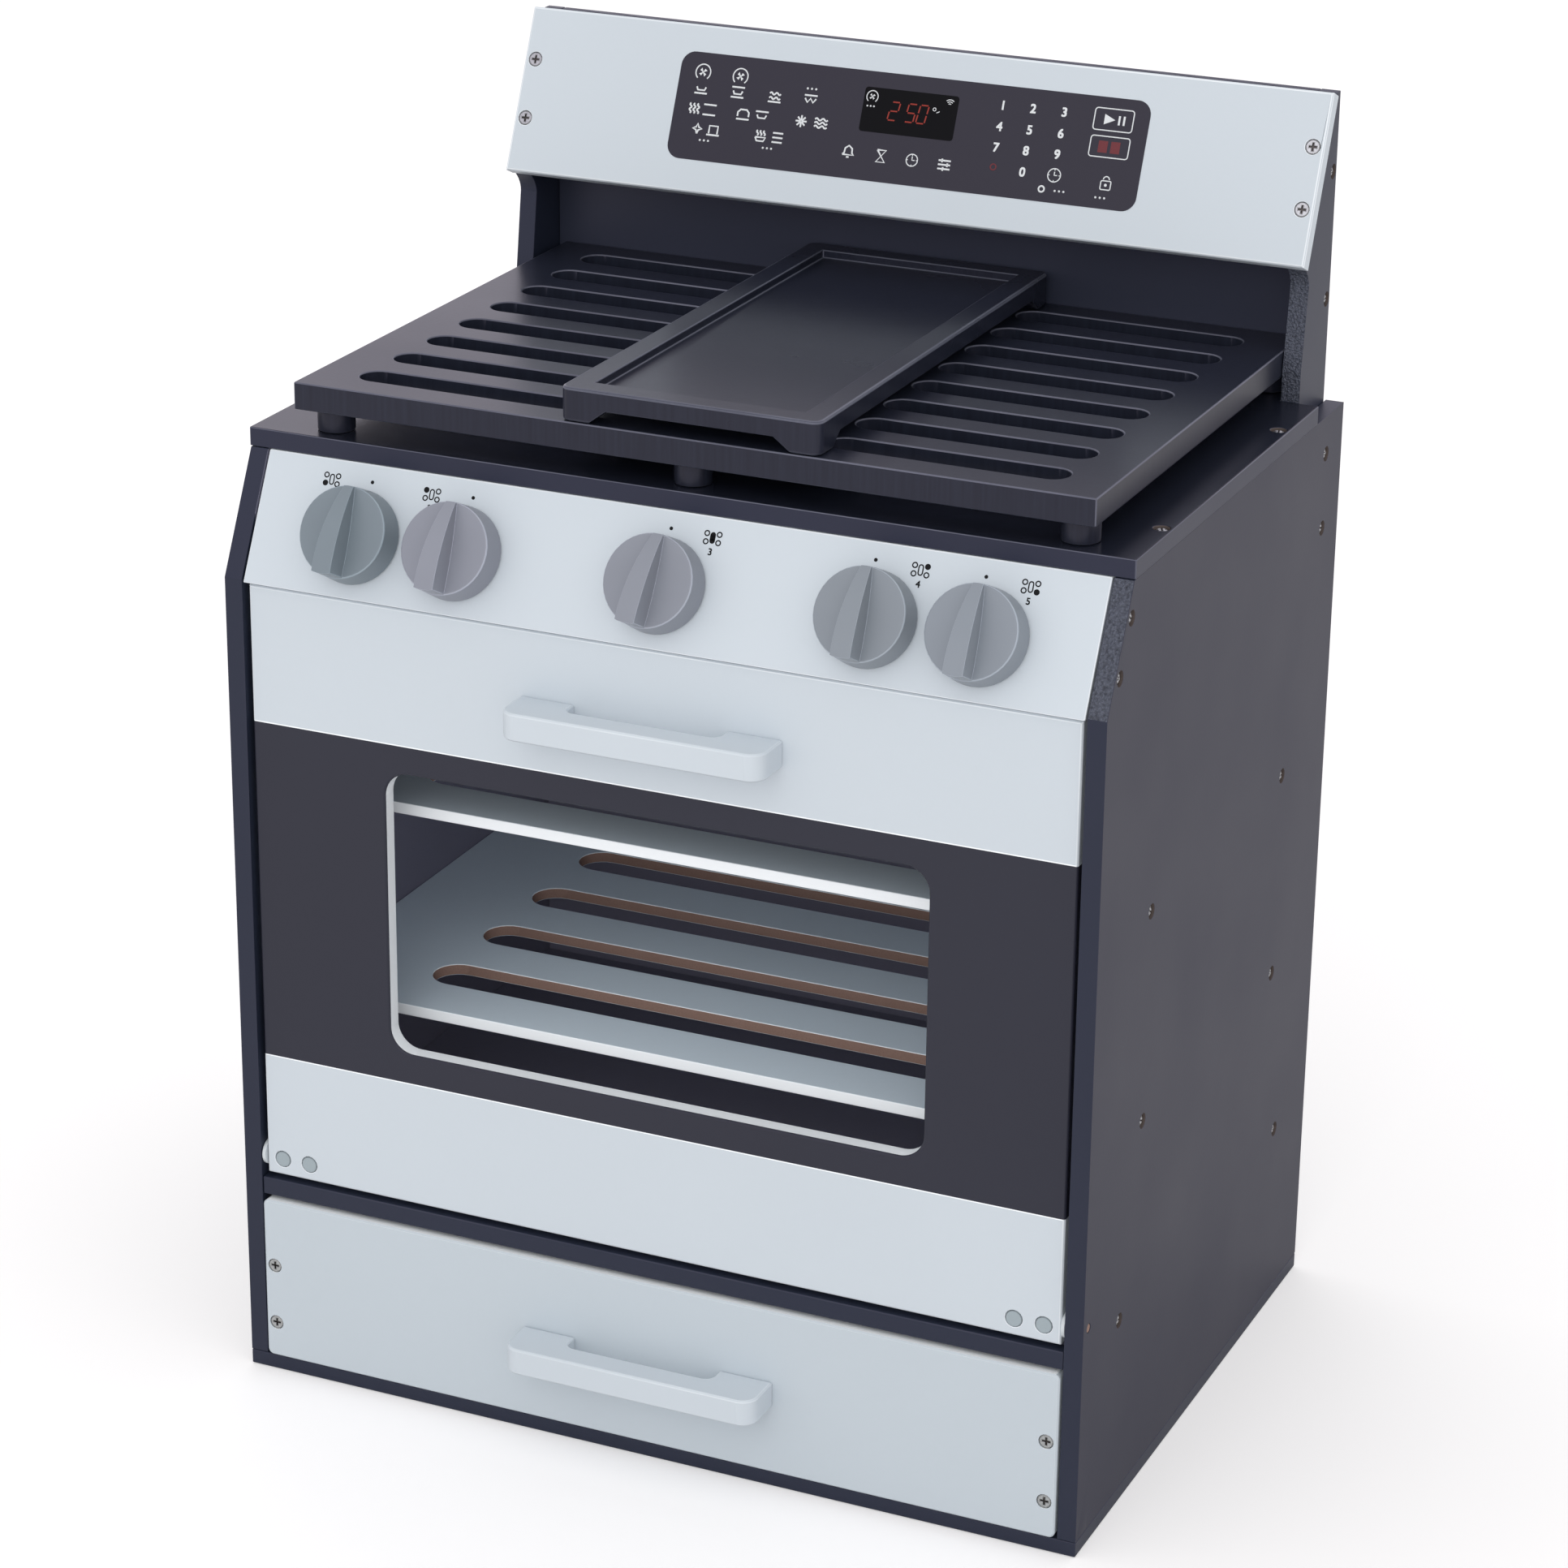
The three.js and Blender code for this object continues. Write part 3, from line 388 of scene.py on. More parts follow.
for node in ("lower_rack", "upper_rack"):
    low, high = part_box(node)
    shell = board_copy(node, edge=rack_edge)
    for face in shell.faces:
        middle = face.calc_center_median()
        between = low.x + rack_rim < middle.x < high.x - rack_rim
        inside = between and low.y + mm < middle.y < high.y - mm
        if inside and abs(face.normal.z) < upright:
            face.material_index = 1
        # Upward lips and front faces take the near-white paint, a painted highlight.
        elif abs(face.normal.z) < facing and (face.normal.z > tilted or face.normal.y < -facing):
            face.material_index = 2
    lay_piece(shell, f"{node}_painted", [rack_lit_paint, routed_board, painted_light_white],
              nodes=[node])

# Control panel: a pale board on the slope, with a printed burner mark, a number and a dot over
# each knob. The marks are screen-printed in black, a few hundredths of a millimetre thick.
knob_joints = [joints[f"knob_{i}_turn"] for i in range(1, 6)]
dot_shifts = (2.5, 2.1, -0.2, -2.9, -3.3)
mark_shifts = (-18.1, -18.6, 20.2, 18.4, 17.5)
filled_rings = (2, 0, 4, 1, 3)
ring_places = ((-3.0, 1.8), (3.0, 1.8), (-3.0, -1.9), (3.0, -1.9))
dot_rise, mark_rise, number_rise = 25.9, 24.5, 18.1
dot_radius, filled_radius, ring_radius = 0.85, 1.35, 1.1
bar_radius, bar_ring_radius = 1.3, 1.0
digit_share = 0.73
ink_height = 0.05 * mm
line_width = 0.6

dress("control_panel", "painted", pale_paint)


def ink_material(name, colour, glow=0.0, shine=0.4):
    """Printing ink with a slight unevenness, and a painted glow where one is given."""
    material, tree, place = start_material(name)
    tone = mix_colours(tree, noise(tree, place, 1500.0), toned(colour, 0.8), colour)
    light = {"Emission Color": tone, "Emission Strength": glow} if glow else None
    return surface(material, tone, 0.5, shine=shine, more=light)


black_ink = ink_material("black_ink", rgb(7, 9, 10), shine=0.2)


def arc(x, y, radius, start, end, step=30):
    """Points along a part of a circle, its angles in degrees."""
    return [(x + radius * cos(radians(turn)), y + radius * sin(radians(turn)))
            for turn in range(start, end + 1, step)]


class Print:
    """Flat printed shapes in millimetres on a sheet, gathered into one mesh."""

    def __init__(self):
        """An empty print."""
        self.shapes = bmesh.new()

    def gather(self, curve, changes):
        """Adds a curve's mesh once after each change, which builds on the one before."""
        holder = bpy.data.objects.new("holder", curve)
        mesh = bpy.data.meshes.new_from_object(holder)
        for change in changes:
            mesh.transform(change)
            self.shapes.from_mesh(mesh)
        bpy.data.objects.remove(holder)
        bpy.data.meshes.remove(mesh)
        bpy.data.curves.remove(curve)

    def line(self, points, width=line_width, closed=False):
        """A line of ink through points."""
        curve = bpy.data.curves.new("line", "CURVE")
        curve.dimensions = "3D"
        curve.bevel_depth = width / 2
        curve.bevel_resolution = 1
        curve.use_fill_caps = True
        path = curve.splines.new("POLY")
        path.points.add(len(points) - 1)
        for point, (x, y) in zip(path.points, points):
            point.co = (x, y, 0, 1)
        path.use_cyclic_u = closed
        self.gather(curve, [Matrix.Diagonal((1, 1, 2 * ink_height / mm / width, 1))])

    def ring(self, x, y, radius, width=line_width, start=0, end=360):
        """A ring, or a part of one between two angles in degrees."""
        whole = end - start >= 360
        count = 24 if whole else max(3, round(24 * (end - start) / 360)) + 1
        turns = count if whole else count - 1
        angles = [radians(start + (end - start) * i / turns) for i in range(count)]
        points = [(x + radius * cos(a), y + radius * sin(a)) for a in angles]
        self.line(points, width, closed=whole)

    def disc(self, x, y, radius):
        """A filled dot."""
        made = bmesh.ops.create_circle(self.shapes, cap_ends=True, segments=24, radius=radius)
        self.raise_flat(made["verts"], x, y)

    def block(self, points):
        """A filled shape through its corners."""
        corners = [self.shapes.verts.new((x, y, 0)) for x, y in points]
        self.shapes.faces.new(corners)
        self.raise_flat(corners, 0, 0)

    def raise_flat(self, corners, x, y):
        """Gives flat shapes the ink's thickness and moves them to their place."""
        faces = {face for corner in corners for face in corner.link_faces}
        lifted = bmesh.ops.extrude_face_region(self.shapes, geom=list(faces))
        new = [item for item in lifted["geom"] if isinstance(item, bmesh.types.BMVert)]
        bmesh.ops.translate(self.shapes, verts=new, vec=(0, 0, ink_height / mm))
        bmesh.ops.translate(self.shapes, verts=list(set(new) | set(corners)), vec=(x, y, 0))

    def number(self, text, x, y, height, weight):
        """A plain number, centred. Shifted copies of it, each a hair higher, make it bold."""
        curve = bpy.data.curves.new("number", "FONT")
        curve.body = text
        curve.size = height / digit_share
        curve.align_x = "CENTER"
        curve.align_y = "CENTER"
        curve.extrude = ink_height / mm
        push = weight * height
        shifts = ((x, y), (push, push), (-2 * push, 0), (0, -2 * push), (2 * push, 0))
        self.gather(curve, [Matrix.Translation((right, up, 0.04 * ink_height / mm))
                            for right, up in shifts])

    def lay(self, name, place, material):
        """Sets the print on its sheet."""
        bmesh.ops.recalc_face_normals(self.shapes, faces=self.shapes.faces)
        self.shapes.transform(place @ Matrix.Scale(mm, 4))
        lay_piece(self.shapes, name, [material])


def sheet_place(origin, right, up, out):
    """The matrix of a sheet's own frame."""
    return Matrix.Translation(origin) @ Matrix((right, up, out)).transposed().to_4x4()


marks = Print()
for i, joint in enumerate(knob_joints):
    centre = joint["pos_m"][0] / mm
    middle = centre + mark_shifts[i]
    marks.disc(centre + dot_shifts[i], dot_rise, dot_radius)
    for place, (x, y) in enumerate(ring_places):
        if place == filled_rings[i]:
            marks.disc(middle + x, mark_rise + y, filled_radius)
        else:
            marks.ring(middle + x, mark_rise + y, ring_radius)
    if filled_rings[i] == len(ring_places):
        for up in (-bar_radius, bar_radius):
            marks.disc(middle, mark_rise + up, bar_radius)
        marks.block([(middle + a * bar_radius, mark_rise + b * bar_radius)
                     for a, b in ((-1, -1), (1, -1), (1, 1), (-1, 1))])
    else:
        marks.line(arc(middle, mark_rise + bar_radius, bar_ring_radius, 0, 180)
                   + arc(middle, mark_rise - bar_radius, bar_ring_radius, 180, 360), closed=True)
    marks.number(str(i + 1), middle, number_rise, height=3.1, weight=0.03)
knob_centre = Vector(knob_joints[2]["pos_m"])
marks.lay("control_panel_print", sheet_place(knob_centre, across, slope_up, slope_out), black_ink)

# Knobs: moulded satin plastic in grey, a disc with a raised grip. The mould leaves a small
# radius at every edge, and fine painted highlight lines run round the disc's rim and along the
# grip's right flank. Each knob turns on a steel spindle.
rim_facet = 10 * mm * mm
rim_low, rim_high = 0.25, 0.96
grip_facet = 0.5 * mm * mm
grip_reach = 20.2 * mm
flank_facing = 0.5
flank_highlight_width = 0.32 * mm
# Each knob's grey is the same plastic made lighter or darker for the light on its part of the panel,
# painted light and shade; the first knob is painted darkest.
knob_greys_lit_and_shaded = ((122, 133, 141), (139, 142, 153), (137, 141, 151), (134, 141, 149), (136, 143, 152))


def moulded_plastic(name, colour, roughness=0.38, painted_edge_light=1.0):
    """Moulded plastic with a fine satin grain, and its eased edges scaled in lightness by a factor:
    above one a painted highlight, below one a painted shade.
    """
    material, tree, place = start_material(name)
    cloud = noise(tree, place, 60.0)
    tone = mix_colours(tree, cloud, toned(colour, 0.93), colour)
    return surface(material, mix_colours(tree, painted_edge_share(tree), tone, toned(colour, painted_edge_light)),
                   spread(tree, cloud, roughness - 0.04, roughness + 0.04),
                   noise(tree, place, 2200.0), 0.012)


def bright_steel_material():
    """Zinc-plated steel, brushed by tumbling, with a dull dark grey in its recesses and round its
    rim, painted shade.
    """
    material, tree, place = start_material("zinc_steel")
    cloud = noise(tree, place, 900.0, 3.0)
    plated = mix_colours(tree, cloud, rgb(156, 159, 158), rgb(220, 223, 222))
    return surface(material, mix_colours(tree, painted_edge_share(tree), plated, rgb(84, 81, 78)),
                   spread(tree, cloud, 0.22, 0.42), cloud, 0.02, more={"Metallic": 1})


bright_steel = bright_steel_material()
for i, grey in enumerate(knob_greys_lit_and_shaded, start=1):
    plastic = moulded_plastic(f"knob_plastic_{i}", rgb(*grey), painted_edge_light=1.6)
    shell = board_copy(f"knob_{i}")
    highlight_mark = shell.faces.layers.float["eased"]
    # Small facets round the rim take the full edge tone, a painted highlight line.
    for face in shell.faces:
        if rim_low < face.normal.dot(slope_out) < rim_high and face.calc_area() < rim_facet:
            face[highlight_mark] = 1
    hub = Vector(knob_joints[i - 1]["pos_m"])
    flank = [face for face in shell.faces
             if face.normal.dot(across) > flank_facing and face.calc_area() > grip_facet
             and (face.calc_center_median() - hub).cross(slope_out).length < grip_reach]
    # A thin band round the grip's right flank takes it too, a painted highlight line.
    lines = bmesh.ops.inset_region(shell, faces=flank, thickness=flank_highlight_width, use_even_offset=True)
    for face in lines["faces"]:
        face[highlight_mark] = 1
    lay_piece(shell, f"knob_{i}_moulded", [plastic], f"dial_{i}", [f"knob_{i}"])
    lay_piece(board_copy(f"knob_spindle_{i}", fine_edge), f"knob_{i}_spindle", [bright_steel],
              f"dial_{i}", [f"knob_spindle_{i}"])

# Oven door: a pale board with a rounded window and a dark band sprayed across it through a
# stencil. It drops on two pins, with plastic caps over its joints and a steel strike behind.
band_low, band_high = 0.168, 0.3372
band_edge_line = 0.6 * mm
window_half, window_low, window_high = 0.135, 0.1827, 0.3235
jamb_facing = 0.5

door_low, door_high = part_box("oven_door")
shell = board_copy("oven_door", edge=fine_edge)
for height in (band_low - band_edge_line, band_low, band_high, band_high + band_edge_line):
    cut_across(shell, height_axis, height)
for face in shell.faces:
    middle = face.calc_center_median()
    in_window = abs(middle.x) < window_half + mm and window_low - mm < middle.z < window_high + mm
    in_band = band_low < middle.z < band_high
    near_band = band_low - band_edge_line < middle.z < band_high + band_edge_line
    in_front = middle.y < door_low.y + mm and (face.normal.y < -facing or in_window)
    if in_band and (abs(middle.x) > door_high.x - mm or in_front):
        face.material_index = 1
    # Jamb and sill take the near-white paint, painted light inside the window's opening; thin lines
    # along the band's edges take it too.
    elif in_window and abs(face.normal.y) < jamb_facing or face.normal.y < -facing and near_band:
        face.material_index = 2
band_paint = paint("door_band_paint", rgb(42, 43, 55), dark_edge_highlight, roughness=0.4, patches=0.08,
                   edge_highlight_share=0.0)
lay_piece(shell, "oven_door_painted", [pale_paint, band_paint, painted_light_white], "door",
          ["oven_door"])

# The caps' eased edges are drawn darker, a painted shade outline.
cap_plastic = moulded_plastic("cap_plastic", rgb(160, 172, 178), roughness=0.3, painted_edge_light=0.6)
washer_plastic = moulded_plastic("washer_plastic", rgb(206, 212, 216), roughness=0.4)
for side, label in sides:
    for i in (1, 2):
        dress(f"hinge_cap_{label}_{i}", "moulded", cap_plastic, "door",
              edge=0.4 * mm, segments=3)
    dress(f"hinge_washer_{label}", "moulded", washer_plastic, edge=fine_edge)
    dress(f"hinge_pin_{label}", "steel", bright_steel, edge=fine_edge)

# Plugs: a short dowel closes the hole of each hinge pin on the side panel's outer face.
# The magnet catch inside the cabinet and the steel strike on the door follow them.
plug_length, plug_gap, plug_sink = 0.7 * mm, 0.05 * mm, 0.2 * mm
for side, label in sides:
    pin_low, pin_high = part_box(f"hinge_pin_{label}")
    plug = bmesh.new()
    radius = (pin_high.z - pin_low.z) / 2 - plug_gap
    bmesh.ops.create_cone(plug, cap_ends=True, segments=32, radius1=radius, radius2=radius,
                          depth=plug_length)
    middle = (pin_low + pin_high) / 2
    middle.x = side * (outer_face - plug_sink - plug_length / 2)
    plug.transform(Matrix.Translation(middle) @ Matrix.Rotation(pi / 2, 4, "Y"))
    lay_piece(plug, f"hinge_plug_{label}", [routed_board])
dress("magnet_catch", "moulded", washer_plastic, edge=0.8 * mm, segments=3)
dress("strike_plate", "steel", bright_steel, "door", edge=0.2 * mm)

# Handles: one pale bar on the door and one on the drawer, routed from thick board, with every
# edge rounded over and a notch behind for the fingers.
handle_paint = paint("handle_paint", pale_blue_grey, pale_edge_highlight,
                     **{**satin, "edge_highlight_share": 0.3, "edge_highlight_cover": 0.3})
for body in ("door", "drawer"):
    dress(f"{body}_handle", "painted", handle_paint, body, edge=fine_edge)

# Drawer: a pale front screwed to a box of bare plywood boards. The plies show as thin lines
# along the boards' edges.
grain_stretch, grain_length = 90.0, 6.0
ply_half = 0.0018


def plywood(name, through, along):
    """Bare plywood whose plies lie across one axis and whose grain runs along another."""
    material, tree, place = start_material(name)
    stretch = [grain_length if axis == along else grain_stretch for axis in range(3)]
    drawn = add_node(tree, "Mapping", {"Vector": place, "Scale": stretch}).outputs[0]
    grain = noise(tree, drawn, 3.0, 6.0, distortion=0.6)
    axes = add_node(tree, "SeparateXYZ", {"Vector": place})
    ply = reckon(tree, "PINGPONG", axes.outputs[through], ply_half)
    layer = spread(tree, ply, 0.0, 0.35, start=0.0007, end=0.0011)
    wood = mix_colours(tree, grain, rgb(182, 150, 112), rgb(226, 202, 166))
    return surface(material, mix_colours(tree, layer, wood, rgb(150, 116, 82)), 0.62, grain, 0.05,
                   shine=0.3)


# The drawer front takes a darker copy of the pale paint, painted shade low down near the floor.
drawer_shaded_paint = paint("drawer_front_paint", rgb(194, 203, 210), pale_edge_highlight, **satin)
shell = board_copy("drawer_front")
# The top face takes the near-white paint, painted light on a face in the shade of the gap over the
# drawer.
for face in shell.faces:
    if face.normal.z > facing:
        face.material_index = 1
lay_piece(shell, "drawer_front_painted", [drawer_shaded_paint, painted_light_white], "drawer",
          ["drawer_front"])
side_plywood = plywood("side_plywood", through=0, along=1)
cross_plywood = plywood("cross_plywood", through=1, along=0)
floor_plywood = plywood("floor_plywood", through=2, along=1)
for node, wood in (("drawer_side_left", side_plywood), ("drawer_side_right", side_plywood),
                   ("drawer_back", cross_plywood), ("drawer_bottom", floor_plywood)):
    dress(node, "plywood", wood, "drawer", edge=fine_edge)

# Top board: the hob, let in round the brackets. It is sprayed glossier than the cabinet, and
# its upper face mirrors what stands behind it.
hob_colour = rgb(30, 33, 44)
hob_paint = paint("hob_paint", hob_colour, dark_edge_highlight, roughness=0.24, patches=0.12, peel=700.0,
                  depth=0.012, tint=dark_reflection_tint)
# The board's other faces take a paint whose eased arrises are drawn much lighter, a painted highlight
# along each edge.
edge_paint = paint("top_edge_paint", rgb(40, 44, 60), rgb(104, 107, 120), roughness=0.4,
                   edge_highlight_share=0.9, edge_highlight_cover=0.6, tint=dark_reflection_tint)
top_low, top_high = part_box("top_board")
hob_top = top_high.z
top_screw_shares = (0.182, 0.821)
top_screw_reach = outer_face - board / 2
notch_front = bracket_toe - 0.3 * mm
top_screws = [Vector((x, top_low.y + share * (notch_front - top_low.y), hob_top))
              for share in top_screw_shares for x in (-top_screw_reach, top_screw_reach)]
shell = board_copy("top_board")
open_wells(shell, top_screws, height_axis)
for face in shell.faces:
    if face.normal.z > facing and face.material_index == 0:
        face.material_index = 2
lay_piece(shell, "top_board_painted", [edge_paint, raw_board, hob_paint],
          nodes=["top_board"])

# Hob grate: a thick slotted board on six round feet, in the same satin dark paint. The paint
# shows the saw's fine upright streaks along its edges.
grate_edge = 0.6 * mm


def streaked_paint(name, streak_colour, arris_highlight_colour, roughness):
    """Dark satin paint over a sawn edge whose streaks run from top to bottom, with a painted
    highlight along its eased arrises.
    """
    material = paint(name, hob_colour, arris_highlight_colour, roughness, edge_highlight_share=0.75, edge_highlight_cover=0.7,
                     peel=650.0, depth=0.012, tint=dark_reflection_tint)
    tree = material.node_tree
    shader = tree.nodes["Principled BSDF"]
    place = add_node(tree, "TexCoord").outputs["Object"]
    drawn = add_node(tree, "Mapping", {"Vector": place, "Scale": (1.0, 1.0, 0.04)}).outputs[0]
    share = spread(tree, noise(tree, drawn, 520.0, 3.0), 0.0, 0.2, start=0.35, end=0.75)
    painted = shader.inputs["Base Color"].links[0].from_socket
    feed(tree, shader, {"Base Color": mix_colours(tree, share, painted, streak_colour)})
    return material


# The grate's light arris colour is a painted highlight along the eased edges of its slots and sides.
grate_paint = streaked_paint("grate_paint", rgb(54, 60, 76), rgb(112, 114, 128), roughness=0.3)
for node in ("hob_grate", *(f"grate_foot_{i}" for i in range(1, 7))):
    dress(node, "painted", grate_paint, edge=grate_edge)

# Griddle: one loose plate with a shallow recess, standing on four corner legs. Its paint is
# a little smoother than the grate's.
# The griddle's light arris colour is a painted highlight too.
griddle_paint = streaked_paint("griddle_paint", rgb(52, 57, 72), rgb(104, 107, 120), roughness=0.28)
dress("griddle", "painted", griddle_paint, "griddle_plate")

# Splash back: two brackets and the board between them. The brackets' front edges are sawn
# and pebbled like the side panels' slopes.
bracket_screw_rises = (41.9 * mm, 103.3 * mm)
edge_across, edge_forward = 0.1, 0.3
bracket_screw_depth = rear - 2.6 * mm - board / 2
for side, label in sides:
    shell = board_copy(f"splash_bracket_{label}")
    cut_across(shell, height_axis, hob_top)
    for face in shell.faces:
        above = face.calc_center_median().z > hob_top
        sawn = abs(face.normal.x) < edge_across and face.normal.y < -edge_forward
        if side > 0 and sawn and above:
            face.material_index = 2
    open_wells(shell, [Vector((side * bracket_high.x, bracket_screw_depth, hob_top + rise))
                       for rise in bracket_screw_rises], side * across)
    lay_piece(shell, f"splash_bracket_{label}_painted", [dark_paint, raw_board, pebbled_paint],
              nodes=[f"splash_bracket_{label}"])
splash_paint = paint("splash_back_paint", rgb(46, 50, 64), dark_edge_highlight, roughness=0.45, tint=dark_reflection_tint)
dress("splash_back", "painted", splash_paint)

# Display panel: a pale board across the brackets' leaning edges, with a dark printed sheet
# on it. The sheet carries plain pictograms, a keypad of numbers and a black window whose red digits
# have a painted glow.
display_lean = radians(23.5)
display_up = Vector((0, sin(display_lean), cos(display_lean)))
display_out = Vector((0, -cos(display_lean), sin(display_lean)))
display_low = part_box("display_panel")[0]
sheet_low, sheet_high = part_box("display_overlay")
display_origin = Vector(((sheet_low.x + sheet_high.x) / 2, display_low.y,
                         display_low.z + board * sin(display_lean)))
sheet_size = (243, 52.8)
sheet_rise, sheet_corner, sheet_thickness = 15.5, 7, 0.3
on_display = sheet_place(display_origin, across, display_up, display_out)

dress("display_panel", "painted", pale_paint, edge=fine_edge)


def rounded_sheet(size, corner, thickness, middle, lift=0.0):
    """A thin sheet with round corners on the display, lifted off it, all in millimetres."""
    sheet = bmesh.new()
    bmesh.ops.create_grid(sheet, x_segments=1, y_segments=1, size=0.5)
    bmesh.ops.scale(sheet, verts=sheet.verts, vec=(*size, 1))
    bmesh.ops.bevel(sheet, geom=list(sheet.verts), offset=corner, affect="VERTICES", segments=8,
                    profile=0.5, material=-1)
    bmesh.ops.translate(sheet, verts=sheet.verts, vec=(*middle, 0))
    lifted = bmesh.ops.extrude_face_region(sheet, geom=list(sheet.faces))
    new = [item for item in lifted["geom"] if isinstance(item, bmesh.types.BMVert)]
    bmesh.ops.translate(sheet, verts=new, vec=(0, 0, thickness))
    bmesh.ops.recalc_face_normals(sheet, faces=sheet.faces)
    sheet.transform(on_display @ Matrix.Translation((0, 0, lift * mm)) @ Matrix.Scale(mm, 4))
    return sheet


overlay_film = paint("overlay_film", rgb(40, 38, 50), rgb(60, 60, 72), roughness=0.42,
                     patches=0.05, peel=1600.0, depth=0.006)
sheet_middle = (0, sheet_rise + sheet_size[1] / 2)
lay_piece(rounded_sheet(sheet_size, sheet_corner, sheet_thickness, sheet_middle), "display_sheet",
          [overlay_film], nodes=["display_overlay"])

window_size, window_middle = (48.6, 21.6), (1.0, 49.8)
window_corner, window_thickness = 1.6, 0.06
window_black = paint("display_window", rgb(4, 5, 7), rgb(40, 40, 44), roughness=0.3,
                     patches=0.05, peel=1600.0, depth=0.004, shine=0.12)
lay_piece(rounded_sheet(window_size, window_corner, window_thickness, window_middle, sheet_thickness),
          "display_window", [window_black])

white_ink = ink_material("white_ink", rgb(232, 235, 238))
# The red digits' ink glows faintly, a painted glow.
red_painted_glow = ink_material("red_digits", rgb(138, 42, 30), glow=0.25)
dim_red_ink = ink_material("dim_red_ink", rgb(112, 42, 48))

# Places on the sheet are in millimetres, across from its middle and up from the panel's foot.
labels = Print()


def draw_fan(x, y, size):
    """A four-bladed fan inside an open ring."""
    labels.ring(x, y, size, width=0.7 * size / 3.9, start=-50, end=230)
    for i in range(4):
        turn = radians(90 * i + 20)
        tip = (x + 0.58 * size * cos(turn), y + 0.58 * size * sin(turn))
        side = (x + 0.5 * size * cos(turn + 0.75), y + 0.5 * size * sin(turn + 0.75))
        labels.block([(x, y), tip, side])
    labels.disc(x, y, 0.16 * size)


def draw_dots(x, y, pitch=2.2, radius=0.55):
    """A short row of dots."""
    for i in (-1, 0, 1):
        labels.disc(x + pitch * i, y, radius)


def bar(height, half=3.0):
    """A level line."""
    return [(-half, height), (half, height)]


def wave(start, end, height, swing=0.5, turns=2):
    """A wavy line from one side to the other."""
    steps = 6 * turns
    return [(start + (end - start) * i / steps, height + swing * sin(2 * pi * turns * i / steps))
            for i in range(steps + 1)]


def rise(across_at, low, high, swing=0.45, turns=1):
    """A wavy line going up."""
    return [(b, a) for a, b in wave(low, high, across_at, swing, turns)]


stroke_size, stroke_width = 1.12, 0.95
tray, lid = bar(-2.2), bar(2.2)
dish = [(-2.2, 0.6), (-1.6, -0.8), (1.6, -0.8), (2.2, 0.6)]
pictograms = {
    (-108.7, 50.7): [tray, dish],
    (-89.2, 50.7): [tray, lid, dish],
    (-69.4, 50.5): [tray, wave(-2.6, 2.6, -0.6), wave(-2.6, 2.6, 1.4)],
    (-50.7, 50.7): [lid, [(-2.6, 0.9), (-1.3, -0.9), (0, 0.9), (1.3, -0.9), (2.6, 0.9)]],
    (-110.6, 40.6): [rise(x, -2.2, 2.2, 0.5, 2) for x in (-1.8, 0, 1.8)],
    (-102.4, 40.6): [tray, lid],
    (-84.4, 40.4): [tray, [(-2.6, -1.0), (-2.6, 0.8), (-1.4, 2.0), (1.4, 2.0), (2.6, 0.8),
                           (2.6, -1.0)]],
    (-74.6, 40.4): [dish, bar(2.0)],
    (-53.6, 40.3): [bar(0, 2.6), [(0, -2.6), (0, 2.6)], [(-1.8, -1.8), (1.8, 1.8)],
                    [(-1.8, 1.8), (1.8, -1.8)]],
    (-43.2, 40.3): [wave(-3, 3, height) for height in (-1.6, 0, 1.6)],
    (-107.2, 31.0): [[(0, -2.2), (0.6, -0.6), (2.2, 0), (0.6, 0.6), (0, 2.2), (-0.6, 0.6),
                      (-2.2, 0), (-0.6, -0.6), (0, -2.2)]],
    (-98.6, 31.0): [tray, [(-2, -1.6), (-2, 1.8), (2, 1.8), (2, -1.6)]],
    (-73.4, 30.9): [*(rise(x, 0.2, 2.4) for x in (-1.6, 0, 1.6)),
                    [(-2.4, -0.6), (-1.6, -2.2), (1.6, -2.2), (2.4, -0.6), (-2.4, -0.6)]],
    (-64.4, 30.9): [bar(height, 2.4) for height in (-2, 0, 2)],
    (-26.6, 28.4): [[(-2.6, -1.4), (-1.8, -0.6), (-1.6, 1.4), (0, 2.6), (1.6, 1.4), (1.8, -0.6),
                     (2.6, -1.4), (-2.6, -1.4)], bar(-2.4, 0.6)],
    (-9.5, 28.0): [[(-2, 2.6), (2, 2.6), (-2, -2.6), (2, -2.6), (-2, 2.6)]],
    (23.3, 27.4): [*(bar(height, 2.8) for height in (1.8, 0, -1.8)), [(-1.2, 2.6), (-1.2, 1.0)],
                   [(1.4, 0.8), (1.4, -0.8)], [(-0.4, -1.0), (-0.4, -2.6)]],
}
for (x, y), strokes in pictograms.items():
    for stroke in strokes:
        labels.line([(x + stroke_size * a, y + stroke_size * b) for a, b in stroke], stroke_width)
for x, y, size in ((-109.2, 58.6, 3.9), (-89.2, 58.5, 3.9), (-19.1, 56.0, 2.9)):
    draw_fan(x, y, size)
for x, y in ((-50.9, 56.4), (-102.6, 25.5), (-68.9, 25.3), (103.6, 20.6), (83.0, 21.3)):
    draw_dots(x, y)
draw_dots(-19.2, 51.4, pitch=1.7, radius=0.45)


def draw_clock(x, y, radius, hands):
    """A clock face with two hands."""
    labels.ring(x, y, radius)
    labels.line([(x + a, y + b) for a, b in hands])
    for quarter in range(4):
        turn = quarter * pi / 2
        labels.line([(x + reach * radius * cos(turn), y + reach * radius * sin(turn))
                     for reach in (0.72, 1)], width=0.5)


draw_clock(6.6, 27.8, 2.9, [(0, 1.8), (0, 0), (1.4, 0)])
draw_clock(79.2, 28.6, 3.2, [(0, 1.7), (0, 0), (1.5, 0)])

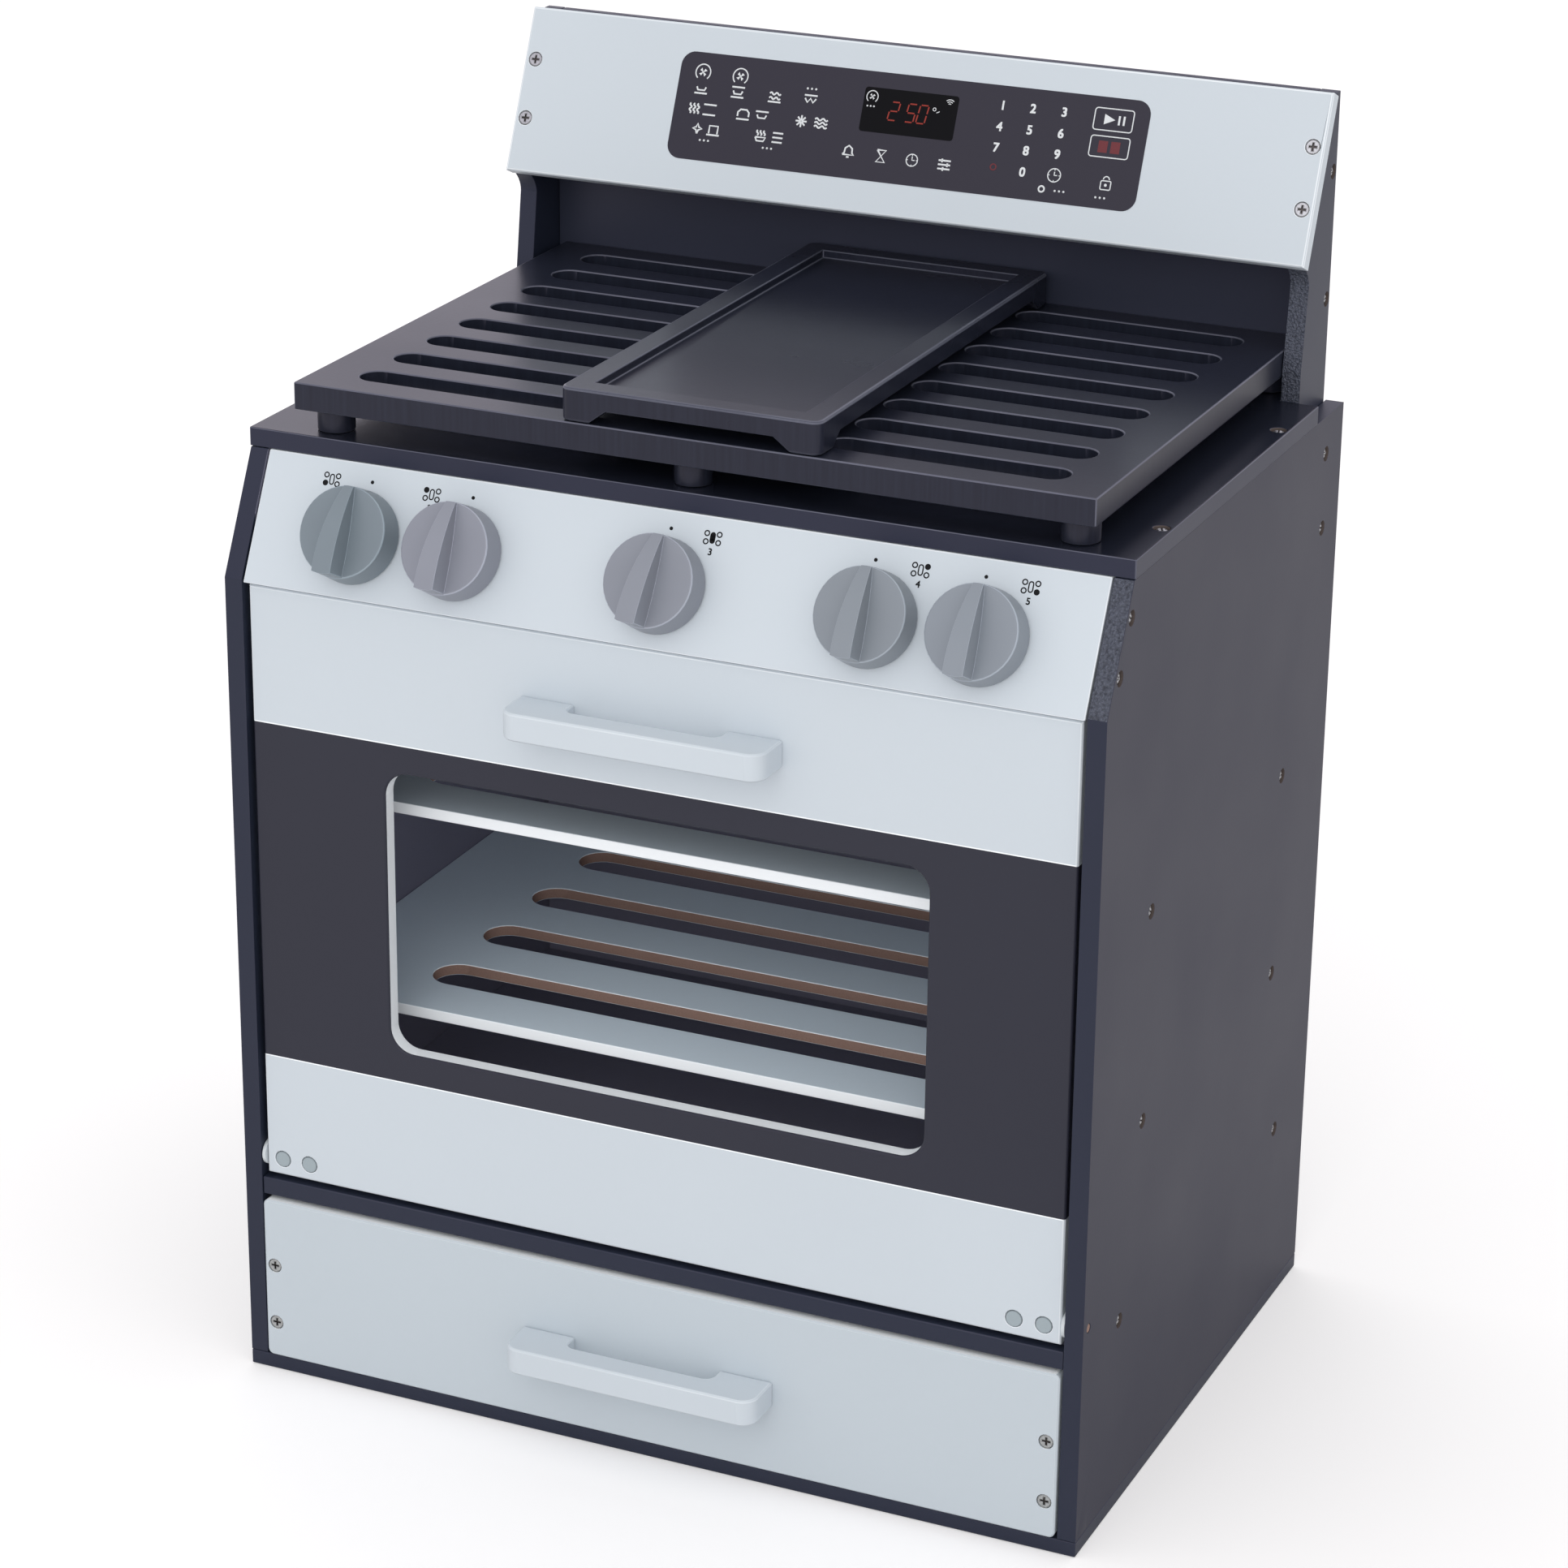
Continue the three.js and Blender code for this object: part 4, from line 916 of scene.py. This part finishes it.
keypad_columns = (47.8, 63.1, 78.9)
keypad_rows = (58.6, 48.4, 38.4)
keys = [(x, y) for y in keypad_rows for x in keypad_columns] + [(keypad_columns[1], 28.2)]
for i, (x, y) in enumerate(keys, start=1):
    labels.number(str(i % len(keys)), x, y, height=4.4, weight=0.04)


def outlined_button(left, right, low, high, corner=1.3):
    """A button's outline with round corners."""
    points = []
    for x, y, start in ((right - corner, high - corner, 0), (left + corner, high - corner, 90),
                        (left + corner, low + corner, 180), (right - corner, low + corner, 270)):
        points += arc(x, y, corner, start, start + 90)
    labels.line(points, closed=True)


outlined_button(94.1, 113.5, 52.5, 62.9)
outlined_button(94.2, 113.7, 39.8, 49.7)
labels.block([(99.2, 55.2), (104.6, 57.7), (99.2, 60.2)])
for x in (106.6, 109.0):
    labels.line([(x, 55.5), (x, 59.9)], width=1.1)

lock_x, lock_y = 105.3, 27.2
outlined_button(lock_x - 2.5, lock_x + 2.5, lock_y - 2.6, lock_y + 1.6, corner=0.6)
labels.ring(lock_x, lock_y + 2.2, 1.5, start=0, end=180)
labels.disc(lock_x, lock_y - 0.4, 0.7)
labels.ring(74.0, 21.5, 1.4, width=0.9)
labels.ring(13.6, 53.2, 0.75, width=0.4)
labels.line([(14.9, 51.6), (16.4, 52.4)], width=0.45)
for radius in (1.0, 2.0, 3.0):
    labels.ring(20.9, 55.6, radius, width=0.45, start=50, end=130)
on_window = on_display @ Matrix.Translation((0, 0, (sheet_thickness + window_thickness) * mm))
labels.lay("display_labels", on_window, white_ink)

red_marks = Print()
for left, right in ((98.4, 103.0), (104.6, 109.2)):
    red_marks.block([(left, 41.9), (right, 41.9), (right, 47.5), (left, 47.5)])
red_marks.ring(48.1, 29.2, 1.4, width=0.7)
on_sheet = on_display @ Matrix.Translation((0, 0, sheet_thickness * mm))
red_marks.lay("display_red_marks", on_sheet, dim_red_ink)

# Number: three digits of up to seven bars each, leaning a little, printed in red on the black window
# with a painted glow.
# Each bar is a short line that stops just before its corners.
digit_height, digit_width, digit_slant = 9.8, 4.4, 0.14
digit_line, digit_gap, digit_rise = 0.75, 0.45, 0.3
bars = {"a": ((0, 2), (1, 2)), "b": ((1, 2), (1, 1)), "c": ((1, 1), (1, 0)), "d": ((0, 0), (1, 0)),
        "e": ((0, 1), (0, 0)), "f": ((0, 2), (0, 1)), "g": ((0, 1), (1, 1))}
digits = Print()
for centre, lit in ((-6.9, "abged"), (2.0, "afgcd"), (7.9, "abcdef")):
    for lit_bar in lit:
        ends = []
        for right, up in bars[lit_bar]:
            y = (up / 2 - 0.5) * (digit_height - 1)
            x = centre + (right - 0.5) * digit_width + digit_slant * y
            ends.append(Vector((x, y)))
        step = (ends[1] - ends[0]).normalized() * digit_gap
        digits.line([(x, window_middle[1] + digit_rise + y)
                     for x, y in (ends[0] + step, ends[1] - step)], width=digit_line)
digits.lay("display_digits", on_window, red_painted_glow)

# Screws: cross-head machine screws in the drawer front and the display panel, and smaller domed
# wood screws that sit in wells in the side panels, the hob and the brackets.
screw_edge = 0.12 * mm
shaded_rim, shaded_rim_share = 0.3 * mm, 0.6
cap_facing, cap_depth, recess_depth = 0.99, 0.1 * mm, 0.2 * mm
for name, body, out in (("drawer", "drawer", -depth_axis), ("display", "root", display_out)):
    for i in range(1, 5):
        node = f"{name}_screw_{i}"
        shell = board_copy(node, edge=screw_edge)
        reach = max(corner.co.dot(out) for corner in shell.verts)
        tops = [face for face in shell.faces if face.normal.dot(out) > cap_facing
                and face.calc_center_median().dot(out) > reach - cap_depth]
        # A thin ring round the top and the cross recess take the steel's painted shade.
        rims = bmesh.ops.inset_region(shell, faces=tops, thickness=shaded_rim, use_boundary=True)
        shade_mark = shell.faces.layers.float["eased"]
        for face in shell.faces:
            under = reach - face.calc_center_median().dot(out)
            face[shade_mark] = shaded_rim_share if face in rims["faces"] else under > recess_depth
        lay_piece(shell, f"{node}_steel", [bright_steel], body, [node])

head_radius, head_dome, head_wall = 2.9 * mm, 1.0 * mm, 1.3 * mm
cross_reach, cross_half, cross_depth = 1.75 * mm, 0.42 * mm, 0.75 * mm
head_ring_shares = (1.0, 0.97, 0.88, 0.76, 0.64, 0.55, 0.46, 0.37, 0.28, 0.19, 0.1)
head_steps = 40
quarter_turn, turn_between = 90, 37


def wood_screw(name, centre, out, turn, sunk):
    """A domed screw head in its well, cut off under the head, with a cross pressed into it; the cross
    and the head's middle take the steel's painted shade.
    """
    head = bmesh.new()
    shade_mark = head.faces.layers.float.new("eased")
    rings = []
    for i, share in enumerate((1.0, *head_ring_shares)):
        ring = []
        for step in range(head_steps):
            angle = 2 * pi * step / head_steps
            x, y = head_radius * share * cos(angle), head_radius * share * sin(angle)
            height = head_dome * (1 - share ** 2) - (head_wall if i == 0 else 0)
            if min(abs(x), abs(y)) < cross_half and max(abs(x), abs(y)) < cross_reach:
                height -= cross_depth
            ring.append(head.verts.new((x, y, height - head_dome)))
        rings.append(ring)
    for low_ring, high_ring in zip(rings, rings[1:]):
        for step in range(head_steps):
            after = (step + 1) % head_steps
            facet = head.faces.new(
                (low_ring[step], low_ring[after], high_ring[after], high_ring[step]))
            spot = facet.calc_center_median()
            near, far = sorted((abs(spot.x), abs(spot.y)))
            facet[shade_mark] = far < cross_reach and near < cross_half
    head.faces.new(rings[0][::-1])
    # The cross and the head's middle take the painted shade.
    head.faces.new(rings[-1])[shade_mark] = 1
    turned = height_axis.rotation_difference(out).to_matrix().to_4x4()
    head.transform(Matrix.Translation(centre - out * sunk) @ Matrix.Rotation(turn, 4, out) @ turned)
    lay_piece(head, name, [bright_steel])


wood_screws = []
for side, label in sides:
    places = [(f"side_screw_{i}", outer_face, y, z) for i, (y, z) in enumerate(side_screws, start=1)]
    places += [(f"bracket_screw_{i}", bracket_high.x, bracket_screw_depth, hob_top + up)
               for i, up in enumerate(bracket_screw_rises, start=1)]
    wood_screws += [(f"{label}_{name}", Vector((side * x, y, z)), side * across)
                    for name, x, y, z in places]
wood_screws += [(f"hob_screw_{i}", centre, height_axis)
                for i, centre in enumerate(top_screws, start=1)]
for i, (name, centre, out) in enumerate(wood_screws):
    wood_screw(name, centre, out, turn=radians(turn_between * i % quarter_turn),
               sunk=(0.3 if out.z else 0.5) * mm)

# Camera: in front of the oven, to its right and above it, with a long lens.
photo_size = 1932
focal_pixels = 5700.8
camera_azimuth, camera_elevation, camera_roll = radians(23.92), radians(21.611), radians(0.657)
camera_place = Vector((0.8309, -1.8699, 1.1))
sensor = 36
lens = bpy.data.cameras.new("camera")
lens.sensor_width = sensor
lens.lens = focal_pixels / photo_size * sensor
lens.clip_start, lens.clip_end = 0.05, 50
camera = add_object("camera", lens)
bpy.context.scene.camera = camera
backwards = Vector((sin(camera_azimuth) * cos(camera_elevation),
                    -cos(camera_azimuth) * cos(camera_elevation), sin(camera_elevation)))
level = height_axis.cross(backwards).normalized()
upwards = backwards.cross(level)
turned_right = cos(camera_roll) * level + sin(camera_roll) * upwards
turned_up = cos(camera_roll) * upwards - sin(camera_roll) * level
camera.matrix_world = sheet_place(camera_place, turned_right, turned_up, backwards)

# Studio: a wide white floor, an even white surround, a broad soft lamp in front, one behind on
# the left, whose light grazes the hob, and a weak even fill that reaches inside the oven.
floor_half, floor_drop = 9, 0.3 * mm
floor_mesh = bmesh.new()
bmesh.ops.create_grid(floor_mesh, x_segments=1, y_segments=1, size=floor_half)
bmesh.ops.translate(floor_mesh, verts=floor_mesh.verts, vec=(0, 0, -floor_drop))
floor_data = bpy.data.meshes.new("studio_floor")
floor_mesh.to_mesh(floor_data)
floor_mesh.free()
floor = add_object("studio_floor", floor_data)

white = (1, 1, 1, 1)
floor_material, tree, place = start_material("white_floor")
ray = add_node(tree, "LightPath").outputs
seen = reckon(tree, "MULTIPLY", ray["Is Camera Ray"], 0.29)
surface(floor_material, (0.79, 0.775, 0.78, 1), 0.8, shine=0.2,
        more={"Emission Color": white, "Emission Strength": seen})
floor_data.materials.append(floor_material)

world = bpy.data.worlds.new("white_surround")
bpy.context.scene.world = world
world.use_nodes = True
tree = world.node_tree
ray = add_node(tree, "LightPath").outputs
mirrored = reckon(tree, "MAXIMUM", ray["Is Camera Ray"], ray["Is Glossy Ray"])
clear = reckon(tree, "MAXIMUM", mirrored, ray["Is Transmission Ray"])
feed(tree, tree.nodes["Background"], {
    "Strength": spread(tree, clear, 0.93, 0.95),
    "Color": mix_colours(tree, ray["Is Glossy Ray"], white, (0.94, 0.885, 1, 1))})


def add_lamp(name, kind, energy, direction, place=(0, 0, 0)):
    """A lamp that shines in a direction."""
    data = bpy.data.lights.new(name, kind)
    data.energy = energy
    lamp = add_object(name, data)
    lamp.location = place
    lamp.rotation_mode = "QUATERNION"
    lamp.rotation_quaternion = Vector(direction).to_track_quat("-Z", "Y")
    return lamp


for name, place, target, size, brightness in (
        ("front_softbox", (0.3, -2.5, 1.9), (0, 0, 0.3), 1.8, 1.18),
        ("rear_softbox", (-1.5, 2.0, 1.3), (0, 0, 0.45), 1.6, 0.2)):
    direction = Vector(target) - Vector(place)
    softbox = add_lamp(name, "AREA", brightness * size * size * pi, direction, place).data
    softbox.shape = "SQUARE"
    softbox.size = size
front_fill = add_lamp("front_fill", "SUN", 0.34, (-0.45, 1.0, -0.4))
front_fill.data.use_shadow = False
front_fill.visible_glossy = False

bpy.context.scene.view_settings.view_transform = "Standard"
